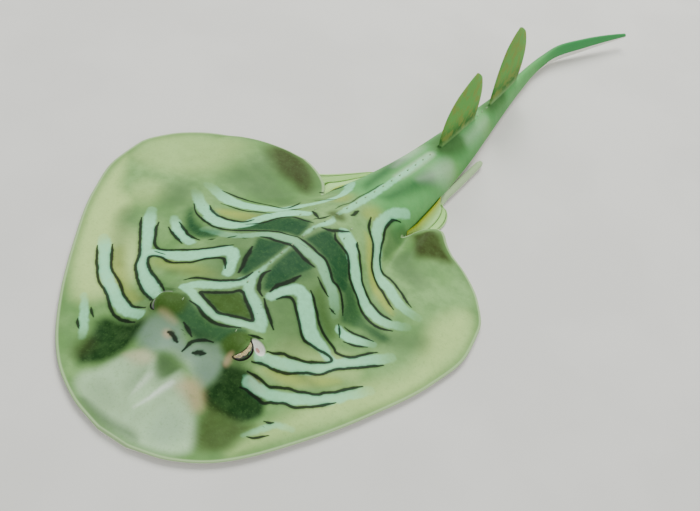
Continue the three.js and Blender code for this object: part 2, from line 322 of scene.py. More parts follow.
    def tail_bottom(self, x: Array, y: Array) -> Array:
        """Height of the tail's underside, flat in the middle and rising to the fold.

        Args:
            x: Sideways places.
            y: Places along the axis.

        Returns:
            The heights.
        """
        across = np.minimum(1.0, np.abs(x) / self.half_width.at(y))
        lift = self.side_fold_height.at(y) - self.rim_thickness
        return lift * smoothstep(across, *self.tail_belly_edge)

    def body_top(self, x: Array, y: Array) -> Array:
        """Height of the back of head, trunk and tail, without the head's relief."""
        return lerp(self.disc_top(x, y), self.tail_top(x, y), smoothstep(y, *self.disc_to_tail))

    def body_bottom(self, x: Array, y: Array) -> Array:
        """Height of the underside of head, trunk and tail."""
        return self.tail_bottom(x, y) * smoothstep(y, *self.disc_to_tail)

    def bent(self, points: Array) -> Array:
        """Straight body bent sideways, while the pectoral fins hold on to the floor.

        Args:
            points: Points of the straight body, one a row.

        Returns:
            The points in the pose.
        """
        x, y = points[:, 0], points[:, 1]
        held = self.fin_hold * smoothstep(np.abs(x), *self.fin_hold_x)
        held = held * (1 - smoothstep(y, *self.fin_hold_y))
        posed = points.copy()
        posed[:, 0] = x + self.axis_bend.at(y) * (1 - held)
        return posed


@dataclass(frozen=True)
class Mound:
    """A rounded rise, or a hollow of negative height, on each side of the midline."""

    x: float
    y: float
    half_width: float
    half_length: float
    height: float

    def raised(self, x: Array, y: Array) -> Array:
        """Height that the mound adds at each place."""
        return self.height * bell(np.abs(x) - self.x, self.half_width) * bell(y - self.y, self.half_length)


@dataclass(frozen=True)
class HeadRelief:
    """Domes over the eyes, nostril capsules, spiracle hollows and ridges down the snout."""

    eye_dome: Mound = Mound(36.0, -95.0, 15.0, 22.0, 11.5)
    nostril_capsule: Mound = Mound(30.0, -119.0, 12.0, 11.0, 3.4)
    crest: Mound = Mound(24.0, -141.0, 15.0, 8.0, 1.8)
    cheek: Mound = Mound(62.0, -124.0, 14.0, 15.0, -3.2)
    nape: Mound = Mound(0.0, -93.0, 9.0, 12.0, -2.0)
    brow_hollow: Mound = Mound(0.0, -134.0, 8.0, 12.0, -3.0)
    spiracle: Mound = Mound(47.5, -79.0, 9.5, 7.5, -6.0)
    spiracle_floor: float = 0.15
    ridge_rear: tuple[float, float] = (13.0, -126.0)
    ridge_front: tuple[float, float] = (4.0, -184.0)
    ridge_height: float = 3.5
    ridge_width: float = 6.0
    ridge_rise: Range = (-0.2, 0.2)
    ridge_fade: Range = (0.75, 1.1)

    def height(self, x: Array, y: Array) -> Array:
        """Height that the head's relief adds to the disc.

        Args:
            x: Sideways places.
            y: Places along the axis.

        Returns:
            The heights.
        """
        total = np.zeros(np.shape(x))
        for mound in (
            self.eye_dome, self.nostril_capsule, self.crest, self.cheek, self.nape, self.brow_hollow
        ):
            total += mound.raised(x, y)
        along = (y - self.ridge_rear[1]) / (self.ridge_front[1] - self.ridge_rear[1])
        fade = smoothstep(along, *self.ridge_rise) * (1 - smoothstep(along, *self.ridge_fade))
        middle = lerp(self.ridge_rear[0], self.ridge_front[0], along)
        total += self.ridge_height * fade * bell(np.abs(x) - middle, self.ridge_width)
        return total + self.spiracle.height * self.crater(x, y)

    def crater(self, x: Array, y: Array) -> Array:
        """Share from 0 outside the spiracles to 1 in their middle.

        Args:
            x: Sideways places.
            y: Places along the axis.

        Returns:
            The shares.
        """
        hole = self.spiracle
        out = np.hypot((np.abs(x) - hole.x) / hole.half_width, (y - hole.y) / hole.half_length)
        return 1 - smoothstep(out, self.spiracle_floor, 1.0)


@dataclass(frozen=True)
class Eyelids:
    """The skin over an eye, with an almond slit that looks sideways."""

    ball: Eyeball = Eyeball()
    cover: float = 1.4
    half_turn: float = 84.0
    corner_lift: float = 22.0
    upper_lift: float = 52.0
    lower_lift: float = -2.0
    inner_radius: float = 0.84
    almond_power: float = 0.8
    corner_slope: float = 0.6
    fillet: float = 0.012
    hold: Range = (1.15, 1.5)
    slit_edge: Range = (-0.2, 1.3)

    def opening(self, places: Array) -> Array:
        """Distance in millimetres by which places lie inside the slit, as seen from the eye's middle.

        Args:
            places: Places relative to the middle of a left eye, one a row.

        Returns:
            The distances, negative outside the slit.
        """
        x, y, z = places.T
        turn = np.degrees(np.arctan2(y, x))
        lift = np.degrees(np.arctan2(z, np.hypot(x, y)))
        wide = np.maximum(0.0, 1 - (turn / self.half_turn) ** 2) ** self.almond_power
        upper = lerp(self.corner_lift, self.upper_lift, wide)
        lower = lerp(self.corner_lift, self.lower_lift, wide)
        inside = np.minimum(upper - lift, lift - lower)
        inside = np.minimum(inside, self.corner_slope * (self.half_turn - np.abs(turn)))
        return np.radians(inside) * self.ball.radii[1]

    def shaped(self, points: Array) -> tuple[Array, Array]:
        """Skin laid over both eyes and opened at their slits.

        Args:
            points: Upper skin of the straight body near the eyes, one point a row.

        Returns:
            The moved points, and how far each one is inside a slit, from 0 to 1.
        """
        hand = np.sign(points[:, :1])
        flip = np.hstack([hand, np.ones_like(hand), np.ones_like(hand)])
        away = points * flip - np.array(self.ball.centre)
        radii = np.array(self.ball.radii) + self.cover
        radius = np.linalg.norm(away / radii, axis=1)
        covered = 0.5 * (radius + 1 + np.sqrt((radius - 1) ** 2 + self.fillet))
        near = 1 - smoothstep(radius, *self.hold)
        sunk = smoothstep(self.opening(away), *self.slit_edge) * near
        goal = lerp(radius + (covered - radius) * near, self.inner_radius, sunk)
        moved = (away * (goal / radius)[:, None] + np.array(self.ball.centre)) * flip
        return moved, sunk


# ---- Markings -----------------------------

BLOT_CORNERS = 10
LINE_LAYERS = 7  # enough to keep neighbouring lines apart


def rounded(points: Array, steps: int = 4) -> Array:
    """Points with smooth ones added between them.

    Args:
        points: Points, one a row.
        steps: Pieces that each stretch is cut into.

    Returns:
        The denser points, on a curve through the given ones.
    """
    if len(points) < 3:
        return points
    ends = np.concatenate([[2 * points[0] - points[1]], points, [2 * points[-1] - points[-2]]])
    rows = []
    for before, start, end, after in zip(ends[:-3], ends[1:-2], ends[2:-1], ends[3:]):
        for t in np.linspace(0.0, 1.0, steps + 1)[:-1]:
            rows.append(0.5 * (
                2 * start
                + (end - before) * t
                + (2 * before - 5 * start + 4 * end - after) * t**2
                + (3 * start - before - 3 * end + after) * t**3
            ))
    return np.array(rows + [points[-1]])


@dataclass(frozen=True)
class Band:
    """A pale band drawn as circles along a smooth line; points are (x, y, radius) or with a strength."""

    points: tuple[tuple[float, ...], ...]
    ink: float = 1.0
    margin: float = 14.0

    def draw(self, x: Array, y: Array, reach: Array, ink: Array) -> None:
        """Draws the band into the distances and strengths of all bands so far.

        Args:
            x: Sideways places.
            y: Places along the axis.
            reach: Distance outside the nearest band, changed in place.
            ink: Strength of that band, changed in place.
        """
        nodes = rounded(np.array([(*point, 1.0)[:4] for point in self.points], float))
        near = in_box(x, y, nodes[:, :2], nodes[:, 2].max() + self.margin)
        for start, end in zip(nodes[:-1], nodes[1:]):
            t, gap = along_step(x[near], y[near], start, end)
            gap -= lerp(start[2], end[2], t)
            closer = gap < reach[near]
            reach[near[closer]] = gap[closer]
            ink[near[closer]] = self.ink * lerp(start[3], end[3], t)[closer]


@dataclass(frozen=True)
class Line:
    """A dark line of the pattern with tapered ends; points are (x, y)."""

    points: tuple[tuple[float, float], ...]
    half: float = 1.45
    ink: float = 1.0
    taper: float = 9.0
    usual_half: float = 1.3
    tip_width: float = 0.4
    tip_fade: float = 2.5
    side_fade: Range = (3.4, 5.5)
    margin: float = 10.0

    def beside(self, x: Array, y: Array) -> tuple[Array, Array, Array]:
        """Places near the line, with their sideways distance and the strength of the ink.

        Args:
            x: Sideways places.
            y: Places along the axis.

        Returns:
            Indices of the near places, signed distances in parts of a usual line, and strengths.
        """
        nodes = rounded(np.array(self.points, float))
        runs = np.hypot(*np.diff(nodes, axis=0).T)
        passed = np.concatenate([[0.0], np.cumsum(runs)])
        near = in_box(x, y, nodes, self.margin)
        px, py = x[near], y[near]
        nearest = np.full(len(near), FAR)
        signed, along, past = np.zeros(len(near)), np.zeros(len(near)), np.zeros(len(near))
        for i, (start, end) in enumerate(zip(nodes[:-1], nodes[1:])):
            ux, uy = (end - start) / max(runs[i], TINY)
            forward = (px - start[0]) * ux + (py - start[1]) * uy
            sideways = (px - start[0]) * uy - (py - start[1]) * ux
            over = forward - np.clip(forward, 0, runs[i])
            gap = np.hypot(over, sideways)
            closer = gap < nearest
            nearest[closer] = gap[closer]
            is_end = (over < 0) & (i == 0) | (over > 0) & (i == len(runs) - 1)
            signed[closer] = np.where(is_end, sideways, np.copysign(gap, sideways))[closer]
            along[closer] = (passed[i] + forward)[closer]
            past[closer] = np.where(is_end, np.abs(over), 0.0)[closer]
        from_end = np.minimum(along, passed[-1] - along)
        tapered = smoothstep(from_end, 0, min(self.taper, passed[-1] / 3))
        narrow = self.tip_width + (1 - self.tip_width) * tapered
        ink = self.ink * (1 - smoothstep(past, 0, self.tip_fade))
        ink = ink * (1 - smoothstep(np.abs(signed), *self.side_fade))
        return near, signed * (self.usual_half / self.half) / narrow, ink


class Tone(Enum):
    """Soft colours that lie over the olive of the back, in the order in which they are laid; some patches of
    DEEP, SMOKE, BROWN and CHALK, marked below, are painted shade and painted highlights.
    """

    PALE = 0xB8D880
    YELLOW = 0x9CAC48
    SEA = 0x52A458
    BEIGE = 0xAED0A0
    LILAC = 0x7C9A84
    SMOKE = 0x47633C
    GREEN = 0x134220
    DEEP = 0x0D3209
    OLIVE = 0x335014
    BROWN = 0x2F3607
    TAN = 0xC8A882
    CHALK = 0xE2F2DC

    @property
    def colour(self) -> Colour:
        """The colour in linear light."""
        return srgb(self.value)

    @property
    def layer(self) -> str:
        """Name of the mesh attribute that holds the tone's strength."""
        return self.name.lower()


@dataclass(frozen=True)
class Patch:
    """A soft-edged area of one tone; points are its corners as (x, y)."""

    tone: Tone
    points: tuple[tuple[float, float], ...]
    soft: float = 3.0
    ink: float = 1.0

    def share(self, x: Array, y: Array) -> Array:
        """How strongly the patch covers each place.

        Args:
            x: Sideways places.
            y: Places along the axis.

        Returns:
            Shares from 0 to the patch's ink.
        """
        corners = rounded(np.array(self.points + self.points[:1], float))
        cover = np.zeros(x.shape)
        near = in_box(x, y, corners, self.soft)
        px, py = x[near], y[near]
        nearest, inside = np.full(len(near), FAR), np.zeros(len(near), bool)
        for start, end in zip(corners[:-1], corners[1:]):
            nearest = np.minimum(nearest, along_step(px, py, start, end)[1])
            step = end - start
            crossing = (start[1] > py) != (end[1] > py)
            slant = step[0] / (step[1] if abs(step[1]) > TINY else TINY)
            inside ^= crossing & (px < start[0] + (py - start[1]) * slant)
        outside = np.where(inside, -nearest, nearest)
        cover[near] = self.ink * (1 - smoothstep(outside, -self.soft, self.soft))
        return cover


def mirrored(patch: Patch) -> tuple[Patch, Patch]:
    """A patch and its mirror image."""
    return patch, Patch(patch.tone, tuple((-x, y) for x, y in patch.points), patch.soft, patch.ink)


def blot(
    tone: Tone, x: float, y: float, wide: float, long: float, soft: float = 6.0, ink: float = 1.0
) -> Patch:
    """A round patch.

    Args:
        tone: Its colour.
        x: Sideways place of its middle.
        y: Place of its middle along the axis.
        wide: Half width.
        long: Half length.
        soft: Softness of its edge.
        ink: Strength.

    Returns:
        The patch.
    """
    turns = [2 * math.pi * step / BLOT_CORNERS for step in range(BLOT_CORNERS)]
    return Patch(tone, tuple((x + wide * math.cos(t), y + long * math.sin(t)) for t in turns), soft, ink)


BANDS = (
    # the loop round the nape's cell and the ridge behind it
    Band(((0, 24, 2, 0.35), (0, 0, 2, 0.4), (0, -20, 3, 0.8), (0, -32, 5), (7, -43, 5.5), (21, -51, 5.8),
        (32, -58, 6), (37, -65, 5.5, 0.9)), 0.85),
    Band(((0, -20, 2, 0.6), (-1, -32, 5), (-8, -45, 5), (-20, -54, 5.6), (-32, -60, 6),
        (-38, -68, 5.5, 0.9)), 0.85),
    Band(((0, -79.5, 4.6), (14, -77, 4.6), (27, -71.5, 5), (37, -65, 5.5, 0.9)), 0.75),
    Band(((0, -79.5, 4.6), (-14, -77, 4.6), (-27, -71.5, 5), (-38, -68, 5.5, 0.9)), 0.75),
    # the bent band on each shoulder
    Band(((23, -35, 5, 0.9), (27, -24, 5.4), (33, -14, 6), (43, -14, 7.5), (54, -23, 8.8), (65, -31, 8.6),
        (78, -34.5, 7.8), (90, -34, 6.5), (98, -37, 5.5), (106, -38, 5)), 0.95),
    Band(((-20, -37, 5, 0.9), (-26, -26, 5.6), (-32, -15, 6), (-42, -13, 7.5), (-54, -23, 8),
        (-66, -31, 8), (-78, -34, 6.6), (-90, -36, 5.6), (-97, -38, 5))),
    Band(((-124, 8, 5.5, 0.3), (-117, -5, 6.5, 0.9), (-106, -23, 5.6), (-97, -40, 5.2), (-91, -52, 5.6),
        (-82, -62, 6.4), (-71, -71, 7.4), (-60, -79, 7, 0.95), (-50, -86, 6, 0.6))),
    Band(((146, 0, 5.5, 0.2), (133, -14, 6.2, 0.85), (119, -28, 6.4), (109, -38, 6.4), (102, -47, 6.4),
        (91, -58, 6.2), (79, -67, 6.4), (67, -75, 6.2), (54, -84, 6, 0.9)), 0.85),
    # the band in front of it
    Band(((-138, -44, 6, 0.3), (-130, -52, 6.6, 0.9), (-114, -72, 6.3), (-103, -82, 6.3), (-92, -90, 6.6),
        (-79, -98, 6.8), (-66, -104, 5.8), (-50, -107, 5, 0.8))),
    Band(((146, -40, 5.5, 0.2), (134, -54, 6, 0.85), (121, -71, 6), (108, -81, 6), (98, -88, 6),
        (86, -96, 5.8), (74, -101, 5.6), (58, -105, 5.4, 0.8)), 0.8),
    # short bands out on the shoulders
    Band(((-103, 12, 4.6, 0.4), (-95, 3, 5), (-86, -6, 5.4), (-74, -12, 5, 0.8))),
    Band(((88, -8, 4.6, 0.9), (100, -8, 5.6), (112, -5, 5.4, 0.9), (126, 1, 4.6, 0.2))),
    Band(((-108, -106, 3.4, 0.3), (-96, -120, 4.4, 0.8), (-86, -133, 4.4, 0.7), (-80, -142, 3.6, 0.2))),
    Band(((112, -112, 3.4, 0.2), (98, -117, 3.8, 0.5), (90, -129, 3.6, 0.5), (82, -140, 3, 0.2))),
    # the arch across the back
    Band(((-74, 10, 5, 0.25), (-58, 8, 5, 0.6), (-44, 11, 4.6, 0.8), (-30, 21, 5, 0.9), (-15, 26, 5.6),
        (0, 28, 6), (15, 26, 6), (29, 25, 6), (42, 18, 6), (56, 12, 6.4, 0.9), (68, 5, 6.5, 0.6),
        (76, -2, 5, 0.15)), 0.48),
    # the two long bands behind it
    Band(((20, 71, 7), (28, 68, 8), (36, 62, 7), (46, 54, 6.6), (60, 46, 7), (77, 38, 6.6), (95, 32, 6.4),
        (113, 28, 6, 0.95), (128, 30, 5.6, 0.6), (142, 38, 5, 0.1)), 0.9),
    Band(((-20, 71, 5, 0.9), (-33, 66, 8), (-42, 56, 6.5), (-47, 44, 6, 0.9), (-52, 29, 6, 0.9),
        (-64, 23, 7), (-76, 26, 6.6), (-87, 35, 6.2), (-98, 44, 6, 0.7), (-108, 54, 5, 0.1))),
    Band(((33, 152, 5.5, 0.8), (27, 139, 5.8), (26, 124, 5.8), (31, 107, 6.2), (41, 97, 6.6), (50, 89, 7),
        (62, 80, 7), (77, 73, 7), (99, 67, 7), (119, 58, 6.6, 0.9), (133, 54, 6, 0.5),
        (145, 54, 5.5, 0.1)), 0.85),
    Band(((-33, 152, 5, 0.7), (-26, 139, 5.4, 0.9), (-24, 124, 5.4), (-30, 104, 5.6, 0.9),
        (-38, 90, 6, 0.9), (-46, 72, 7, 0.9), (-58, 67, 8.6), (-72, 66, 9), (-88, 66, 7.4, 0.8),
        (-104, 70, 6, 0.1))),
    # the stripe down the middle of the back and tail
    Band(((-1, 40, 2.2, 0.6), (-1, 58, 2.6, 0.8), (4, 72, 3.6, 0.9), (0, 80, 1.5, 0.3))),
    Band(((0, 88, 3, 0.5), (1, 100, 4.4, 0.9), (1, 130, 4.8, 0.9), (1, 170, 4.2, 0.8), (0, 215, 3.4, 0.6),
        (0, 240, 2.6, 0.2)), 0.85),
)

LINES = (
    # right side of the body, from the front band backwards
    Line(((-136, -55), (-124, -70), (-108, -87), (-92, -96), (-82, -105), (-70, -112), (-50, -114))),
    Line(((-125, -47), (-109, -69), (-95, -78), (-77, -92), (-64, -99), (-51, -100))),
    Line(((-125, -5), (-119, -15), (-108, -31), (-99, -45), (-94, -57), (-83, -69), (-72, -79), (-60, -86),
        (-47, -94))),
    Line(((-110, -1), (-106, -11), (-99, -23), (-94, -28), (-88, -30), (-79, -27), (-67, -22), (-58, -17),
        (-50, -11), (-41, -4))),
    Line(((-51, -76), (-60, -70), (-71, -63), (-82, -55), (-88, -48), (-91, -42), (-86, -39), (-80, -40),
        (-72, -43), (-64, -41), (-56, -37), (-50, -30), (-41, -24), (-36, -23), (-32, -26), (-26, -33))),
    Line(((-100, -1), (-89, -9), (-79, -16))),
    Line(((-97, 10), (-87, 2), (-79, -4), (-69, -7))),
    Line(((-63, -4), (-59, -1)), 0.9, 0.8),
    Line(((-51, 4), (-47, 9)), 0.9, 0.8),
    Line(((-41, 8), (-37, 10)), 0.9, 0.8),
    Line(((-101, 39), (-96, 32), (-88, 25), (-78, 19), (-68, 15), (-58, 15), (-43, 21), (-33, 26),
        (-21, 31), (-12, 32), (-3, 35)), 1.2, 0.85, 30.0),
    Line(((-91, 46), (-85, 39), (-76, 33), (-67, 31), (-59, 31), (-53, 34), (-51, 40))),
    Line(((-46, 47), (-43, 55), (-40, 63), (-37, 72)), 0.7, 0.45),
    Line(((-86, 56), (-80, 56), (-72, 54), (-64, 53), (-57, 56), (-46, 57)), 1.1),
    Line(((-95, 73), (-88, 75), (-84, 76), (-77, 79), (-71, 80), (-62, 80), (-52, 76), (-45, 76),
        (-44, 86), (-47, 100)), 1.1),
    Line(((-52, 29), (-45, 34), (-40, 41), (-37, 50), (-32, 56), (-26, 59), (-14, 59), (-6, 60)),
        1.1, 0.8),
    Line(((-40, 73), (-37, 76), (-34, 79)), 1.4),
    Line(((-20, 77), (-12, 72), (-7, 69)), 1.8),
    Line(((-9, 66), (-5, 72), (-3, 78)), 1.2),
    Line(((-40, 111), (-30, 111), (-21, 112)), 1.2, 0.8),
    Line(((-50, 138), (-42, 143), (-37, 146), (-35, 150)), 2.0, 0.9),
    Line(((-95, -129), (-92, -133), (-87, -137)), 1.2, 0.8),
    Line(((-94, -114), (-90, -118), (-86, -121)), 1.2, 0.8),
    # the middle of the back
    Line(((-29, 17), (-22, 19), (-13, 19), (-4, 22), (3, 22), (11, 19), (20, 17), (29, 17)), 1.8, 0.85),
    Line(((-25, 1), (-21, -11), (-17, -20), (-13, -32)), 2.2),
    Line(((27, 0), (26, -9), (23, -16), (20, -25), (20, -32)), 2.0),
    Line(((-45, -59), (-40, -54), (-32, -51), (-24, -49), (-15, -45), (-9, -40), (-5, -35), (-4, -26)),
        1.5),
    Line(((6, -15), (4, -22), (7, -30), (12, -37), (18, -40)), 1.7, 0.9),
    Line(((21, -41), (29, -47), (36, -52), (45, -57)), 1.6),
    Line(((-24, -67), (-14, -61), (-4, -54), (3, -47), (11, -52), (18, -56), (25, -60), (28, -65),
        (20, -69), (11, -73), (3, -76), (-7, -73), (-16, -70), (-24, -67)), 1.6, 1.0, 1.0),
    Line(((-22, -80), (-15, -80), (-6, -83), (1, -85), (10, -85), (17, -83), (27, -78)), 1.8, 1.0, 16.0),
    Line(((4, 60), (12, 64), (17, 71), (21, 77)), 2.0, 0.95),
    Line(((-7, 91), (-7, 101), (-4, 111), (-5, 125), (-4, 133), (-3, 160)), 0.9, 0.7),
    Line(((8, 94), (9, 98), (8, 107)), 2.0, 0.8),
    Line(((-3, 35), (5, 34), (12, 34), (22, 32), (31, 31), (41, 25), (50, 20), (58, 20), (66, 17),
        (75, 11), (82, 5)), 1.4, 0.9),
    # left side of the body
    Line(((28, -34), (31, -28), (35, -24), (40, -25), (45, -28), (54, -34), (61, -38), (70, -43),
        (78, -41), (90, -37), (98, -35), (103, -37), (101, -41), (91, -50), (84, -56), (77, -60),
        (70, -64), (65, -66), (59, -72), (55, -75))),
    Line(((43, -5), (49, -8), (59, -14), (69, -20), (80, -24), (90, -25), (97, -26), (102, -28),
        (112, -26), (119, -21), (125, -13), (133, -4))),
    Line(((52, -92), (60, -85), (65, -83), (73, -79), (80, -74), (87, -67), (92, -62), (100, -57),
        (105, -52), (111, -43), (122, -33), (133, -22), (144, -11))),
    Line(((54, -100), (64, -96), (74, -95), (79, -91), (88, -84), (96, -81), (103, -77), (111, -73),
        (116, -67), (123, -61), (131, -50), (139, -41))),
    Line(((56, -112), (61, -110), (66, -109), (73, -108), (78, -108), (84, -103), (91, -98), (95, -96),
        (100, -95), (106, -92), (111, -87), (119, -80), (128, -69))),
    Line(((89, -120), (93, -119), (96, -116)), 1.2),
    Line(((86, -139), (92, -136), (99, -128)), 1.2),
    Line(((92, -2), (104, -1), (116, 2), (124, 4)), 1.2),
    Line(((101, -14), (112, -11), (123, -5)), 1.2),
    Line(((85, -5), (90, -9), (94, -13)), 1.2),
    Line(((67, -2), (75, -1)), 1.1, 0.8),
    Line(((38, 11), (45, 8), (55, 5), (58, 5)), 1.2, 0.9),
    Line(((15, 64), (21, 58), (30, 56), (36, 55), (44, 50), (59, 37), (78, 31), (95, 24), (111, 20),
        (122, 20), (133, 25)), 1.4),
    Line(((33, 74), (37, 70), (42, 67), (53, 59), (61, 54), (68, 49), (80, 44), (94, 40), (110, 35),
        (120, 34), (127, 35)), 1.4, 1.0, 3.0),
    Line(((19, 112), (22, 106), (25, 101), (31, 96), (38, 92), (48, 84), (57, 75), (66, 69), (79, 65),
        (99, 58), (114, 50), (122, 47)), 1.4),
    Line(((35, 140), (30, 134), (31, 124), (33, 118), (39, 109), (48, 97), (59, 87), (70, 82), (82, 80),
        (94, 78), (115, 71), (128, 64), (135, 61)), 1.4),
    # the head
    Line(((37, -79), (41, -74), (45, -71)), 1.2),
    Line(((-13, -99), (-6, -102), (0, -105)), 1.6),
    Line(((2, -119), (3, -114), (3, -109), (7, -105), (12, -102), (18, -101)), 1.6),
    Line(((-18, -113), (-14, -112), (-6, -115)), 1.9, 0.9, 2.0),
    Line(((10, -116), (14, -114), (19, -112)), 2.1, 0.95, 2.0),
)

BELLY_LINES = (
    Line(((-31, -124), (-18, -121), (0, -120), (18, -121), (31, -124)), 1.6),
    *(Line(((side * (20 + 2 * i), -142 + 5 * i), (side * (27 + 3 * i), -139 + 7 * i)), 1.8)
      for side in (-1, 1) for i in range(2)),
    *(Line(((side * (49 - 2.6 * i), -86 + 15 * i), (side * (43 - 2.6 * i), -83 + 15 * i),
            (side * (36 - 2.6 * i), -83 + 15 * i)), 1.3, 0.9)
      for side in (-1, 1) for i in range(5)),
    Line(((0, 148), (0, 162)), 2.4),
)

